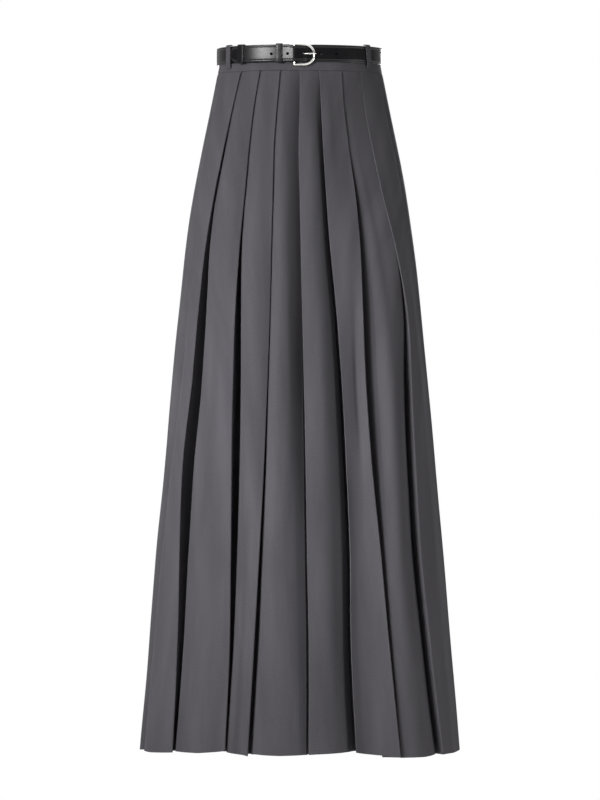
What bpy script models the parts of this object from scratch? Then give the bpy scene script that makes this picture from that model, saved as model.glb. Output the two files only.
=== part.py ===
"""A pleated maxi skirt in charcoal suiting, with its own narrow leather belt.

The skirt keeps the filled-out form it has when it is worn: hollow, open at the waist and at the hem.
+Z is up, the front faces -Y, and the origin is the middle of the waistband's upper edge.
Sizes are in millimetres and turned to metres by MM where a mesh is made.
"""
import math

import bmesh
import bpy
import numpy as np

MM = 0.001

# ---------------------------------------------------------------- driving sizes
WALL = 1.0                  # thickness of the cloth wall
SEAM_GAP = 0.3              # clearance between pieces that meet
FOLD_RADIUS = 0.95          # radius of a pressed fold, at the middle of the wall
LEAST_OPENING = 1.3         # what a closed pleat leaves beside its edge
EDGE_SPRING = 1.0           # how far a free edge springs outwards
EDGE_SPRING_REACH = 6.0     # over this width
SIDE_SEAM = 94.0            # degrees round from the middle of the front

BAND_HEIGHT = 40.0          # waistband
CLOTH_TOP = -BAND_HEIGHT - SEAM_GAP
HEM = -1036.0

# The skirt's outline: half its width, and half its depth at the front and at the back.
OUTLINE_HEIGHTS = (-40, -90, -150, -220, -300, -390, -490, -610, -740, -880, -1036)
HALF_WIDTH = (121.5, 131.5, 144, 157.5, 169, 178.5, 188.5, 199, 210.5, 222, 235.5)
FRONT_DEPTH = (90, 97, 105, 113, 120, 124, 128, 132, 136, 140, 145)
BACK_DEPTH = (88, 97, 107, 118, 126, 131, 135, 139, 143, 147, 151)

LEVEL_HEIGHTS = (-40, -150, -300, -490, -740, -1036)
TUCK_HEIGHTS = (-40, -300, -610, -1036)

# One entry for each pleat fold of the front, left to right.
#   over     the side whose cloth lies on top there
#   edge     how far the free edge stands from the middle, at OUTLINE_HEIGHTS
#   opening  the gap that shows beside that edge, at OUTLINE_HEIGHTS
#   free     how proud the free edge is of the outline, at LEVEL_HEIGHTS
#   covered  the same for the cloth that runs in under it
#   tuck     how far the cloth is tucked in under the free edge, at TUCK_HEIGHTS
#   deeper   how much deeper than the covered cloth the tuck's inner fold lies, at TUCK_HEIGHTS
FRONT_FOLDS = (
    dict(over="right",
         edge=(-118, -125, -138, -149, -158, -165, -173, -188, -201, -214, -229),
         opening=(1, 1, 1, 1, 2, 2, 2, 2, 2, 1, 1),
         free=(0, 0, 0, 0, 0, 0), covered=(-3, -4, -5, -6, -6, -5),
         tuck=(9, 8, 8, 12), deeper=(0, 4, 6, 6)),
    dict(over="left",
         edge=(-86.5, -98, -111, -125.5, -138.5, -148.5, -158, -171, -176, -179, -186.5),
         opening=(1, 1, 1, 3, 4.5, 9.5, 10, 11.5, 10, 5.5, 1.5),
         free=(0, 0, 0, 0, 0, 2), covered=(-3, -5, -7, -14, -14, -4),
         tuck=(13, 15, 16, 22), deeper=(0, 14, 22, 18)),
    dict(over="left",
         edge=(-58.5, -67, -74.5, -81, -88.5, -94.5, -97.5, -99.5, -100.5, -102.5, -109),
         opening=(1, 1, 1, 1, 3, 5, 8, 8, 6, 2.5, 1),
         free=(0, -4, -9, -22, -28, -38), covered=(-3, -8, -16, -34, -39, -44),
         tuck=(12, 14, 16, 20), deeper=(0, 8, 12, 8)),
    dict(over="left",
         edge=(-29, -33.5, -38, -39.5, -42, -44, -47.5, -52.5, -59, -67, -76),
         opening=(1, 1, 1, 1, 1, 1, 1, 1, 2, 4.5, 3.5),
         free=(0, -4, -9, -9, -2, 3), covered=(-3, -7, -12, -12, -7, -8),
         tuck=(12, 12, 12, 14), deeper=(0, 2, 3, 6)),
    dict(over="right",
         edge=(0, 0, -1.5, 0, 1.5, 3, 5, 7, 9, 11, 11),
         opening=(1, 1, 1, 1, 1, 1, 1, 1, 1, 1, 1),
         free=(0, 0, -1, -2, -2, -4), covered=(-4, -14, -26, -34, -24, -13),
         tuck=(12, 13, 14, 16), deeper=(0, 3, 5, 8)),
    dict(over="right",
         edge=(28.5, 31, 34, 38.5, 44.5, 53.5, 61, 67.5, 73, 74.5, 82),
         opening=(1, 1, 1, 1, 1, 2, 3.5, 4.5, 2.5, 1, 1),
         free=(0, -3, -8, -16, -30, -38), covered=(-4, -14, -24, -38, -52, -58),
         tuck=(11, 13, 14, 18), deeper=(0, 5, 6, 8)),
    dict(over="left",
         edge=(60.5, 63.5, 70.5, 80.5, 87.5, 91.5, 95.5, 104, 117, 130, 146.5),
         opening=(1, 1, 1, 1.5, 5.5, 10, 10, 11, 7, 3, 1.5),
         free=(-1, -8, -6, -9, -2, 4), covered=(-4, -12, -12, -15, -8, -2),
         tuck=(11, 13, 14, 20), deeper=(0, 14, 20, 16)),
    dict(over="right",
         edge=(89, 94.5, 106.5, 120, 138, 152.5, 158, 165, 174, 188, 208.5),
         opening=(1, 1, 1, 2, 5, 8, 9, 9, 9, 8, 5),
         free=(0, 0, 0, 0, 0, 0), covered=(-3, -4, -8, -13, -13, -7),
         tuck=(12, 13, 14, 16), deeper=(0, 6, 10, 8)),
    dict(over="left",
         edge=(116, 124, 136, 149, 162.5, 174, 185, 196, 208, 220, 233),
         opening=(1, 1, 1, 1, 1, 1, 1, 1, 1, 1, 1),
         free=(0, 0, 0, 0, 0, 0), covered=(-3, -4, -5, -6, -6, -5),
         tuck=(11, 11, 12, 14), deeper=(0, 3, 4, 6)),
)

# One entry for each panel between the folds: where its crown is across it, at the waist, the middle
# and the hem, and how proud that crown is at LEVEL_HEIGHTS.
FRONT_PANELS = (
    dict(crown_at=(0.3, 0.3, 0.3), crown=(0, 0, 0, 0, 0, 0)),
    dict(crown_at=(0.5, 0.5, 0.75), crown=(0, 1, 1, 1, 1, 4)),
    dict(crown_at=(0.4, 0.3, 0.4), crown=(0, 1, 1, -4, -6, -9)),
    dict(crown_at=(0.4, 0.3, 0.8), crown=(0, 1, 1, 0, 0, 5)),
    dict(crown_at=(0.35, 0.2, 0.4), crown=(-1, -5, -9, -9, -4, -3)),
    dict(crown_at=(0.15, 0.12, 0.08), crown=(0, 1, 0, -1, -1, -3)),
    dict(crown_at=(0.2, 0.5, 0.85), crown=(0, -2, -4, -11, -1, 5)),
    dict(crown_at=(0.2, 0.15, 0.3), crown=(-2, -9, -7, -8, -2, 5)),
    dict(crown_at=(0.4, 0.4, 0.4), crown=(0, 1, 1, 1, 1, 1)),
    dict(crown_at=(0.7, 0.7, 0.7), crown=(0, 0, 0, 0, 0, 0)),
)

BACK_FOLDS = (
    dict(over="right", edge=(-104, -112, -125, -139, -150, -158, -166, -175, -186, -196, -208),
         opening=(1, 1, 1, 2, 3, 4, 5, 5, 5, 4, 3),
         free=(0, 0, 0, -2, -3, -4), covered=(-3, -8, -12, -18, -20, -16),
         tuck=(12, 13, 14, 16), deeper=(0, 6, 10, 10)),
    dict(over="right", edge=(-72, -78, -85, -92, -99, -106, -112, -119, -126, -133, -142),
         opening=(1, 1, 1, 1, 2, 4, 6, 8, 8, 6, 4),
         free=(0, 0, -2, -4, -6, -8), covered=(-3, -10, -18, -28, -32, -30),
         tuck=(12, 13, 14, 18), deeper=(0, 8, 14, 12)),
    dict(over="right", edge=(-38, -42, -46, -50, -54, -58, -62, -66, -70, -75, -80),
         opening=(1, 1, 2, 3, 5, 7, 8, 7, 6, 4, 3),
         free=(0, 0, 0, 0, 0, 0), covered=(-3, -10, -16, -20, -18, -14),
         tuck=(12, 13, 14, 18), deeper=(0, 10, 16, 12)),
    dict(over="left", edge=(-6, -6, -6, -6, -5, -5, -4, -3, -1, 1, 4),
         opening=(1, 1, 1, 1, 1, 1, 2, 3, 3, 3, 3),
         free=(0, -2, -6, -10, -6, 0), covered=(-3, -8, -14, -22, -18, -12),
         tuck=(12, 13, 13, 16), deeper=(0, 3, 5, 8)),
    dict(over="right", edge=(26, 29, 32, 36, 39, 42, 44, 48, 52, 57, 62),
         opening=(1, 1, 1, 2, 3, 5, 6, 8, 9, 8, 6),
         free=(0, 0, -4, -12, -20, -22), covered=(-3, -10, -22, -38, -44, -42),
         tuck=(11, 13, 14, 18), deeper=(0, 7, 10, 10)),
    dict(over="left", edge=(66, 72, 78, 84, 89, 94, 98, 103, 108, 115, 124),
         opening=(1, 1, 1, 1, 2, 3, 4, 5, 6, 5, 4),
         free=(0, 0, 0, 0, 0, 2), covered=(-3, -8, -14, -18, -14, -10),
         tuck=(11, 12, 14, 18), deeper=(0, 8, 14, 12)),
    dict(over="left", edge=(102, 111, 123, 136, 145, 153, 160, 169, 178, 189, 202),
         opening=(1, 1, 1, 2, 3, 4, 5, 5, 5, 3, 2),
         free=(0, 0, 0, 0, 0, 0), covered=(-3, -7, -12, -18, -18, -14),
         tuck=(12, 13, 14, 16), deeper=(0, 6, 10, 10)),
)

BACK_PANELS = (
    dict(crown_at=(0.3, 0.3, 0.3), crown=(0, 0, 0, 0, 0, 0)),
    dict(crown_at=(0.3, 0.3, 0.4), crown=(0, 1, 1, 0, -2, -2)),
    dict(crown_at=(0.3, 0.25, 0.3), crown=(0, 1, 1, 0, -2, -3)),
    dict(crown_at=(0.4, 0.4, 0.5), crown=(0, 1, 2, 3, 3, 4)),
    dict(crown_at=(0.4, 0.35, 0.4), crown=(0, 1, 1, 0, 0, 2)),
    dict(crown_at=(0.5, 0.6, 0.7), crown=(0, 1, 0, -2, -2, 2)),
    dict(crown_at=(0.5, 0.55, 0.6), crown=(0, 1, 1, 1, 1, 2)),
    dict(crown_at=(0.6, 0.6, 0.6), crown=(0, 0, 0, 0, 0, 0)),
)

FRONT = dict(facing=1, span=SIDE_SEAM, depth=FRONT_DEPTH, beyond=BACK_DEPTH,
             folds=FRONT_FOLDS, panels=FRONT_PANELS)
BACK = dict(facing=-1, span=180.0 - SIDE_SEAM, depth=BACK_DEPTH, beyond=FRONT_DEPTH,
            folds=BACK_FOLDS, panels=BACK_PANELS)

# How the coarse cloth is stepped: down its length, round a fold, up an opening and across a panel.
CLOTH_HEIGHTS = (CLOTH_TOP, -95, -160, -240, -330, -430, -550, -700, -865, HEM)
TURN_ANGLES = (90.0, 0.0, -90.0)
RISE_STEPS = (0.7,)
PANEL_STEPS = (0.12, 0.32, 0.62, 0.86)

# ---------------------------------------------------------------- waistband, belt and buckle
# The round of the waistband where the belt lies: half width, half depth in front and behind.
BELT_ROUND = (118.9, 88.0, 87.1)
# The waistband's outer face: height, half width, half depth in front and behind.
BAND_ROUNDS = (
    (0.0, 118.1, 87.2, 86.3),
    (-28.0, 118.8, 87.9, 87.0),
    (-BAND_HEIGHT, 121.2, 89.8, 88.8),
)
BAND_WALL = 1.6

BELT_TOP = -2.5
BELT_WIDTH = 25.0
BELT_MIDDLE = BELT_TOP - BELT_WIDTH / 2
STRAP = 2.0                 # thickness of the leather
HOLE = 3.4                  # height of the slot and the hole for the prong
LONGEST_STEP = 13.0         # between two columns of the strap

HINGE_AT = -8.0             # buckle: its hinge bar and the far side of its frame, from the middle
FRAME_END = 20.4
FRAME_LEVEL = 4.4           # how far out the frame lies
FRAME_BAR = 3.2             # thickness of the frame
HINGE_BAR = 2.6             # and of its hinge bar
FRAME_RISE = 14.6           # half the frame's height, at the middle of its bar
PRONG = 1.8                 # thickness of the prong
LOOP_RADIUS = HINGE_BAR / 2 + SEAM_GAP + STRAP / 2

# The strap's route, as (along the waist from the middle of the front, out from the waistband).
# It starts under itself, loops round the hinge bar and runs round the waist to the other side.
STRAP_RETURN = ((-21.0, 1.3), (-12.0, 1.5), (HINGE_AT, FRAME_LEVEL - LOOP_RADIUS))
STRAP_START = ((HINGE_AT, FRAME_LEVEL + LOOP_RADIUS), (-12.0, 6.4), (-16.0, 4.9), (-20.0, 3.6),
               (-24.0, 2.9), (-102.0, 2.9), (-110.0, 1.3))
STRAP_AT_ZIP = ((-156.0, 1.3), (-166.0, 3.1), (-184.0, 3.1), (-194.0, 1.3))
# The free end's route, from the right of the buckle, under its frame and over the hinge bar.
FREE_END = ((26.0, 1.3), (18.0, 1.3), (13.5, 1.35), (10.8, 1.8), (7.3, 4.1), (3.5, 6.1), (-2.0, 8.3),
            (HINGE_AT, 9.3), (-14.0, 8.2), (-20.0, 6.2), (-26.0, 5.2), (-104.0, 5.2), (-108.0, 5.2))
PRONG_ROUTE = ((-6.2, 2.6), (-8.0, 1.9), (-9.8, 2.6), (-10.5, 4.4), (-9.8, 6.2), (-8.0, 6.9),
               (-5.0, 6.4), (-1.0, 5.2), (3.0, 4.1), (5.0, 4.2), (7.5, 4.7), (10.0, 5.5), (12.5, 6.3),
               (16.0, 7.0), (20.4, 7.2), (22.6, 6.9))
PRONG_SLOT = (-12.0, -5.0)  # where the strap's loop is open for the prong
PRONG_HOLE = (3.5, 10.8)    # where the prong comes through the free end

KEEPER_WALL = 1.3
KEEPERS = dict(keeper_near=(-34.0, -25.0), keeper_far=(-93.0, -83.0))

# The cloth loops that carry the belt: degrees round from the front, and how far the foot leans.
CARRIER_WALL = 1.2
CARRIER_WIDTH = 10.0
CARRIERS = dict(carrier_front_left=(-61.4, 0.0), carrier_front_right=(52.5, 5.0),
                carrier_back_left=(-125.0, 0.0), carrier_back_right=(122.0, -2.0))
# A carrier's section: (out from the belt's round, height) from the band's upper edge to its seam.
CARRIER_ROUTE = ((-1.6, 0.9), (0.6, 1.2), (2.2, 1.0), (3.2, -0.4), (3.3, -4.0), (3.3, -28.5), (3.1, -34.0),
                 (3.2, -BAND_HEIGHT + 0.6))

ZIP_LENGTH = 215.0          # a concealed zip in the left side seam
ZIP_WIDTH = 14.0
ZIP_WALL = 1.2
ZIP_INSET = 3.0             # from the skirt's outline to the middle of the tape
TAB_TOP, TAB_FOOT = -4.0, -23.0
TAB_LEVELS = (0.6, 1.8)     # the slider's tab lies flat between waistband and belt


def through(heights, values, z):
    """A smooth curve through a table's values, read at height z."""
    x = -np.asarray(heights, float)
    y = np.asarray(values, float)
    at = min(max(-z, x[0]), x[-1])
    i = min(int(np.searchsorted(x, at, side="right")) - 1, len(x) - 2)
    slope = np.gradient(y, x)
    h = x[i + 1] - x[i]
    t = (at - x[i]) / h
    return float((2 * t ** 3 - 3 * t ** 2 + 1) * y[i] + (t ** 3 - 2 * t ** 2 + t) * h * slope[i]
                 + (3 * t ** 2 - 2 * t ** 3) * y[i + 1] + (t ** 3 - t ** 2) * h * slope[i + 1])


class Outline:
    """The skirt's plain outline at one height, from side seam to side seam of the front or back.

    It is half an ellipse, and past the widest point it turns on to the other half's depth.
    """

    def __init__(self, half, z):
        self.wide = through(OUTLINE_HEIGHTS, HALF_WIDTH, z)
        self.angle = np.radians(np.linspace(-half["span"], half["span"], 753))
        deep = np.where(np.abs(self.angle) < math.pi / 2,
                        through(OUTLINE_HEIGHTS, half["depth"], z),
                        through(OUTLINE_HEIGHTS, half["beyond"], z))
        self.x = self.wide * np.sin(self.angle)
        self.y = -deep * np.cos(self.angle)
        steps = np.hypot(np.diff(self.x), np.diff(self.y))
        self.along = np.concatenate(([0.0], np.cumsum(steps)))
        out_x, out_y = np.sin(self.angle) / self.wide, -np.cos(self.angle) / deep
        size = np.hypot(out_x, out_y)
        self.out_x, self.out_y = out_x / size, out_y / size

    def find(self, x, level):
        """How far along the point lies that is seen at x and stands level proud of the outline."""
        seen = self.x + level * self.out_x
        facing = np.abs(self.angle) < math.radians(89.5)
        return float(np.interp(x, seen[facing], self.along[facing]))

    def across(self, along, opening, drop):
        """The distance along that shows as opening, where the far side lies lower by drop."""
        out_x = np.interp(along, self.along, self.out_x)
        facing = max(0.5, math.sqrt(1 - out_x ** 2))
        return max(LEAST_OPENING, (opening - max(0.0, drop * out_x)) / facing)

    def point(self, along, level):
        turn = [np.interp(along, self.along, table) for table in (self.x, self.out_x, self.y, self.out_y)]
        return turn[0] + level * turn[1], turn[2] + level * turn[3]


def panel_level(t, left, crown, right, crown_at):
    """How proud a panel is at t across it: a soft crown that falls away to both ends."""
    if t < crown_at:
        return crown + (left - crown) * (1 - math.sin(math.pi / 2 * t / crown_at))
    return crown + (right - crown) * (1 - math.cos(math.pi / 2 * (t - crown_at) / (1 - crown_at)))


def pleated_section(half, z):
    """The middle of the cloth at one height, from side seam to side seam, as (x, y) points."""
    folds, panels = half["folds"], half["panels"]
    outline = Outline(half, z)
    r = FOLD_RADIUS
    spots = []
    for fold in folds:
        side = 1 if fold["over"] == "left" else -1
        opening = through(OUTLINE_HEIGHTS, fold["opening"], z)
        edge = through(OUTLINE_HEIGHTS, fold["edge"], z)
        free = through(LEVEL_HEIGHTS, fold["free"], z)
        covered = min(through(LEVEL_HEIGHTS, fold["covered"], z), free - 2.8 * r)
        free_at = outline.find(edge, free)
        spots.append(dict(side=side, free=free, covered=covered, free_at=free_at,
                          covered_at=free_at + side * outline.across(free_at, opening, side * (covered - free)),
                          tuck=through(TUCK_HEIGHTS, fold["tuck"], z),
                          deeper=max(0.0, through(TUCK_HEIGHTS, fold["deeper"], z))))
    ends = []
    for i in range(len(panels)):
        left = (SEAM_GAP / 2, 0.0, False)
        right = (outline.along[-1] - SEAM_GAP / 2, 0.0, False)
        if i > 0:
            left = end_of(spots[i - 1], on_left=True)
        if i < len(folds):
            right = end_of(spots[i], on_left=False)
        ends.append((left, right))

    def surface(i, along):
        (start, left, left_free), (stop, right, right_free) = ends[i]
        t = (along - start) / (stop - start)
        spring = 0.0
        if left_free:
            spring += EDGE_SPRING * math.exp(-max(0.0, along - start) / EDGE_SPRING_REACH)
        if right_free:
            spring += EDGE_SPRING * math.exp(-max(0.0, stop - along) / EDGE_SPRING_REACH)
        crown = through(LEVEL_HEIGHTS, panels[i]["crown"], z)
        crown_at = through((0, -520, -1036), panels[i]["crown_at"], z)
        return panel_level(min(1.0, max(0.0, t)), left, crown, right, crown_at) + spring

    path = []
    for i in range(len(panels)):
        (start, _, left_free), (stop, _, right_free) = ends[i]
        first = start + (r if left_free else 0.0)
        last = stop - (r if right_free else 0.0)
        if i == 0:
            path.append((first, surface(i, first)))
        for t in PANEL_STEPS:
            at = first + (last - first) * t
            path.append((at, surface(i, at)))
        if i == len(panels) - 1:
            path.append((last, surface(i, last)))
            continue
        spot = spots[i]
        cover = i if spot["side"] > 0 else i + 1
        bend = fold_path(spot, lambda along: surface(cover, along))
        path.extend(bend if spot["side"] > 0 else reversed(bend))
    along, level = np.array(path).T
    x, y = outline.point(along, level - WALL / 2)
    return np.column_stack((x, y))


def end_of(spot, on_left):
    """Where a panel ends at a fold: (along, level, free). on_left says the fold is on its left."""
    free = (spot["side"] < 0) if on_left else (spot["side"] > 0)
    if free:
        return spot["free_at"], spot["free"], True
    return spot["covered_at"], spot["covered"], False


def fold_path(spot, cover):
    """One pleat fold, from the cloth on top, round its free edge and its tuck, to the cloth below."""
    r, side = FOLD_RADIUS, spot["side"]
    edge, free = spot["free_at"], cover(spot["free_at"])
    path = []
    for angle in TURN_ANGLES:
        turn = math.radians(angle)
        path.append((edge + side * r * (math.cos(turn) - 1), free + r * (math.sin(turn) - 1)))
    tuck = spot["tuck"]
    inner = min(free - 2 * r, spot["covered"]) - spot["deeper"]

    def middle_layer(q):
        straight = free - 2 * r + (inner - free + 2 * r) * (q - r) / (tuck - r)
        return min(straight, cover(edge - side * q) - 2 * r)

    inner = middle_layer(tuck)
    for angle in TURN_ANGLES:
        turn = math.radians(angle)
        path.append((edge - side * (tuck + r * math.cos(turn)), inner + r * (math.sin(turn) - 1)))
    opening = abs(spot["covered_at"] - edge)
    lip = 0.6 * spot["deeper"] * opening / (opening + 3.0)
    under = min(free - 4 * r, spot["covered"] - lip)
    path.append((edge - side * 0.3, under))
    for t in RISE_STEPS:
        path.append((edge + side * opening * t, spot["covered"] + (under - spot["covered"]) * (1 - t ** 3)))
    path.append((edge + side * opening, spot["covered"]))
    return path


# ---------------------------------------------------------------- meshes
def sheet(columns, heights):
    """A bmesh grid, one column for each point across and one row for each height."""
    bm = bmesh.new()
    bmesh.ops.create_grid(bm, x_segments=columns - 1, y_segments=heights - 1, size=0.5)
    return bm


def shape_sheet(bm, places):
    """Move each grid vertex to places[row][column], given in millimetres."""
    rows, columns = len(places), len(places[0])
    for vert in bm.verts:
        column = round((vert.co.x + 0.5) * (columns - 1))
        row = round((0.5 - vert.co.y) * (rows - 1))
        vert.co = [value * MM for value in places[row][column]]


def add_object(name, bm, material, thickness=0.0, offset=0.0):
    """Turn a bmesh into a named object, with a wall of the given thickness if it is a sheet."""
    mesh = bpy.data.meshes.new(name)
    bm.to_mesh(mesh)
    bm.free()
    mesh.materials.append(material)
    obj = bpy.data.objects.new(name, mesh)
    COLLECTION.objects.link(obj)
    if thickness:
        wall = obj.modifiers.new("wall", "SOLIDIFY")
        wall.thickness = thickness * MM
        wall.offset = offset
        wall.use_even_offset = True
        wall.use_quality_normals = True
    return obj


def material(name, color, roughness, metallic=0.0):
    made = bpy.data.materials.new(name)
    made.use_nodes = True
    shader = made.node_tree.nodes["Principled BSDF"]
    shader.inputs["Base Color"].default_value = (*color, 1.0)
    shader.inputs["Roughness"].default_value = roughness
    shader.inputs["Metallic"].default_value = metallic
    return made


def pleated_panel(name, half, cloth):
    """The pleated front or back, from the waist seam to the hem."""
    places = []
    for z in CLOTH_HEIGHTS:
        places.append([(x, half["facing"] * y, z) for x, y in pleated_section(half, z)])
    bm = sheet(len(places[0]), len(places))
    shape_sheet(bm, places)
    return add_object(name, bm, cloth, WALL)


class Round:
    """A plain oval round the waist, measured from the middle of the front, to the right and out."""

    def __init__(self, wide, front, back):
        angle = np.radians(np.linspace(-560.0, 200.0, 6081))
        deep = np.where(np.cos(angle) > 0, front, back)
        self.angle, self.x, self.y = angle, wide * np.sin(angle), -deep * np.cos(angle)
        run = np.concatenate(([0.0], np.cumsum(np.hypot(np.diff(self.x), np.diff(self.y)))))
        self.along = run - np.interp(0.0, angle, run)
        out_x, out_y = np.sin(angle) / wide, -np.cos(angle) / deep
        size = np.hypot(out_x, out_y)
        self.out_x, self.out_y = out_x / size, out_y / size
        self.length = float(self.at(180.0) - self.at(-180.0))

    def at(self, degrees):
        return float(np.interp(math.radians(degrees), self.angle, self.along))

    def place(self, along, out, z):
        x, out_x, y, out_y = [float(np.interp(along, self.along, table))
                              for table in (self.x, self.out_x, self.y, self.out_y)]
        return x + out * out_x, y + out * out_y, z


def finely(route, step=LONGEST_STEP):
    """A route with points put in wherever two lie further apart than step."""
    path = [route[0]]
    for here, there in zip(route, route[1:]):
        count = max(1, math.ceil(abs(there[0] - here[0]) / step))
        path += [(here[0] + (there[0] - here[0]) * i / count, here[1] + (there[1] - here[1]) * i / count)
                 for i in range(1, count + 1)]
    return path


def waistband(name, facing, cloth):
    """The front or back of the waistband, between the side seams."""
    span = SIDE_SEAM if facing > 0 else 180.0 - SIDE_SEAM
    places = []
    for z, wide, front, back in BAND_ROUNDS:
        edge = Round(wide - BAND_WALL / 2, front - BAND_WALL / 2, back - BAND_WALL / 2)
        middle = edge.at(0.0 if facing > 0 else -180.0)
        reach = abs(edge.at(span) if facing > 0 else edge.at(-180.0 + span) - middle) - SEAM_GAP / 2
        places.append([edge.place(middle + facing * reach * t, 0.0, z) for t in np.linspace(-1, 1, 35)])
    bm = sheet(len(places[0]), len(places))
    shape_sheet(bm, places)
    return add_object(name, bm, cloth, BAND_WALL)


def belt_strap(waist, leather):
    """The strap from its loop on the hinge bar, round the waist, to the tip of its free end."""
    turns = [math.radians(a) for a in (-60, -30, 0, 30, 60)]
    loop = [(HINGE_AT + LOOP_RADIUS * math.cos(a), FRAME_LEVEL + LOOP_RADIUS * math.sin(a)) for a in turns]
    free_end = [(along - waist.length, out) for along, out in FREE_END]
    route = list(STRAP_RETURN) + loop + finely(list(STRAP_START) + list(STRAP_AT_ZIP) + free_end)
    heights = (BELT_TOP, BELT_MIDDLE + HOLE / 2, BELT_MIDDLE - HOLE / 2, BELT_TOP - BELT_WIDTH)
    bm = sheet(len(route), len(heights))
    open_faces = []
    for face in bm.faces:
        at = round((face.calc_center_median().x + 0.5) * (len(route) - 1) - 0.5)
        middle_row = abs(face.calc_center_median().y) < 0.1
        for start, stop in (PRONG_SLOT, [x - waist.length for x in PRONG_HOLE]):
            inside = all(start - 0.01 < along < stop + 0.01 for along, _ in route[at:at + 2])
            if middle_row and inside:
                open_faces.append(face)
    shape_sheet(bm, [[waist.place(along, out, z) for along, out in route] for z in heights])
    bmesh.ops.delete(bm, geom=open_faces, context="FACES")
    return add_object("belt_strap", bm, leather, STRAP)


def keeper(name, waist, reach, leather):
    """A band of leather closed round both layers of the strap."""
    inside, outside = 2.9 - STRAP / 2, 5.2 + STRAP / 2
    stand = SEAM_GAP + KEEPER_WALL / 2
    low, high = inside - stand, outside + stand
    rise = BELT_WIDTH / 2 + stand
    corner = 0.8
    ring = []
    for out, z, start in ((high, rise, 0), (low, rise, 90), (low, -rise, 180), (high, -rise, 270)):
        centre_out = out - corner if out == high else out + corner
        centre_z = z - corner if z > 0 else z + corner
        for turn in (start, start + 45, start + 90):
            angle = math.radians(turn)
            ring.append((centre_out + corner * math.cos(angle), centre_z + corner * math.sin(angle)))
    bm = bmesh.new()
    made = bmesh.ops.create_circle(bm, segments=len(ring), radius=1.0)
    edges = list({edge for vert in made["verts"] for edge in vert.link_edges})
    bands = [made["verts"]]
    for _ in range(2):
        grown = bmesh.ops.extrude_edge_only(bm, edges=edges)["geom"]
        edges = [item for item in grown if isinstance(item, bmesh.types.BMEdge)]
        bands.append([item for item in grown if isinstance(item, bmesh.types.BMVert)])
    for band, along in zip(bands, np.linspace(reach[0], reach[1], len(bands))):
        for vert in band:
            turn = round(math.atan2(vert.co.y, vert.co.x) / math.tau * len(ring)) % len(ring)
            out, z = ring[turn]
            vert.co = [value * MM for value in waist.place(along, out, BELT_MIDDLE + z)]
    bmesh.ops.recalc_face_normals(bm, faces=bm.faces)
    return add_object(name, bm, leather, KEEPER_WALL)


def carrier(name, waist, degrees, lean, cloth):
    """A cloth loop from the waistband's upper edge, over the belt, down to the seam."""
    middle = waist.at(degrees)
    places = []
    for out, z in CARRIER_ROUTE:
        shift = lean * z / -BAND_HEIGHT
        places.append([waist.place(middle + shift + CARRIER_WIDTH * t, out, z) for t in (-0.5, 0, 0.5)])
    bm = sheet(3, len(places))
    shape_sheet(bm, places)
    return add_object(name, bm, cloth, CARRIER_WALL)


def tube(name, waist, route, thickness, metal, closed=False, thins=None):
    """A round bar along a route of (along, out, height) points."""
    curve = bpy.data.curves.new(name, "CURVE")
    curve.dimensions = "3D"
    curve.bevel_depth = thickness / 2 * MM
    curve.bevel_resolution = 2
    curve.use_fill_caps = not closed
    line = curve.splines.new("POLY")
    line.points.add(len(route) - 1)
    for i, (along, out, z) in enumerate(route):
        line.points[i].co = (*[value * MM for value in waist.place(along, out, z)], 1.0)
        line.points[i].radius = thins[i] if thins else 1.0
    line.use_cyclic_u = closed
    curve.materials.append(metal)
    obj = bpy.data.objects.new(name, curve)
    COLLECTION.objects.link(obj)
    return obj


def buckle_frame(waist, metal):
    """A horseshoe frame whose open side is closed by the thinner hinge bar."""
    bend = FRAME_END - FRAME_RISE
    turns = [math.radians(a) for a in range(-90, 91, 15)]
    route = [(bend + FRAME_RISE * math.cos(a), FRAME_LEVEL, BELT_MIDDLE + FRAME_RISE * math.sin(a))
             for a in turns]
    corner = 1.4
    for side in (1, -1):
        rise = FRAME_RISE * side
        ends = [(HINGE_AT + corner, rise), (HINGE_AT + corner * 0.3, rise - corner * 0.3 * side),
                (HINGE_AT, rise - corner * side)]
        route += [(along, FRAME_LEVEL, BELT_MIDDLE + z) for along, z in (ends if side > 0 else ends[::-1])]
    thins = [1.0] * len(turns) + [1.0, 0.95, HINGE_BAR / FRAME_BAR] + [HINGE_BAR / FRAME_BAR, 0.95, 1.0]
    return tube("buckle_frame", waist, route, FRAME_BAR, metal, closed=True, thins=thins)


def zip_tape(cloth):
    """The concealed zip's closed tape behind the left side seam."""
    heights = [-2.0, -20.0, -42.0] + [-80.0, -120.0, -165.0, -2.0 - ZIP_LENGTH]
    places = []
    for z in heights:
        wide, front, back = [through(OUTLINE_HEIGHTS, table, max(HEM, min(-40.0, z))) - ZIP_INSET
                             for table in (HALF_WIDTH, FRONT_DEPTH, BACK_DEPTH)]
        if z > -BAND_HEIGHT:
            wide, front, back = [size - ZIP_INSET - 0.6 for size in BAND_ROUNDS[0][1:]]
        edge = Round(wide, front, back)
        seam = edge.at(-SIDE_SEAM)
        places.append([edge.place(seam + ZIP_WIDTH * t, 0.0, z) for t in (-0.5, -0.17, 0.17, 0.5)])
    bm = sheet(4, len(places))
    shape_sheet(bm, places)
    return add_object("zip_tape", bm, cloth, ZIP_WALL)


def zip_slider(waist, metal):
    """The zip's slider with its small drop-shaped tab, flat under the belt."""
    seam = waist.at(-SIDE_SEAM)
    low, high = TAB_LEVELS
    widths = ((TAB_TOP, 2.6), (TAB_TOP - 7.0, 2.6), (TAB_TOP - 8.5, 1.4), (TAB_FOOT + 5.0, 2.2), (TAB_FOOT, 1.2))
    places = [[waist.place(seam + half * t, (low + high) / 2, z) for t in (-1, 0, 1)] for z, half in widths]
    bm = sheet(3, len(places))
    shape_sheet(bm, places)
    return add_object("zip_slider", bm, metal, high - low)


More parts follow.
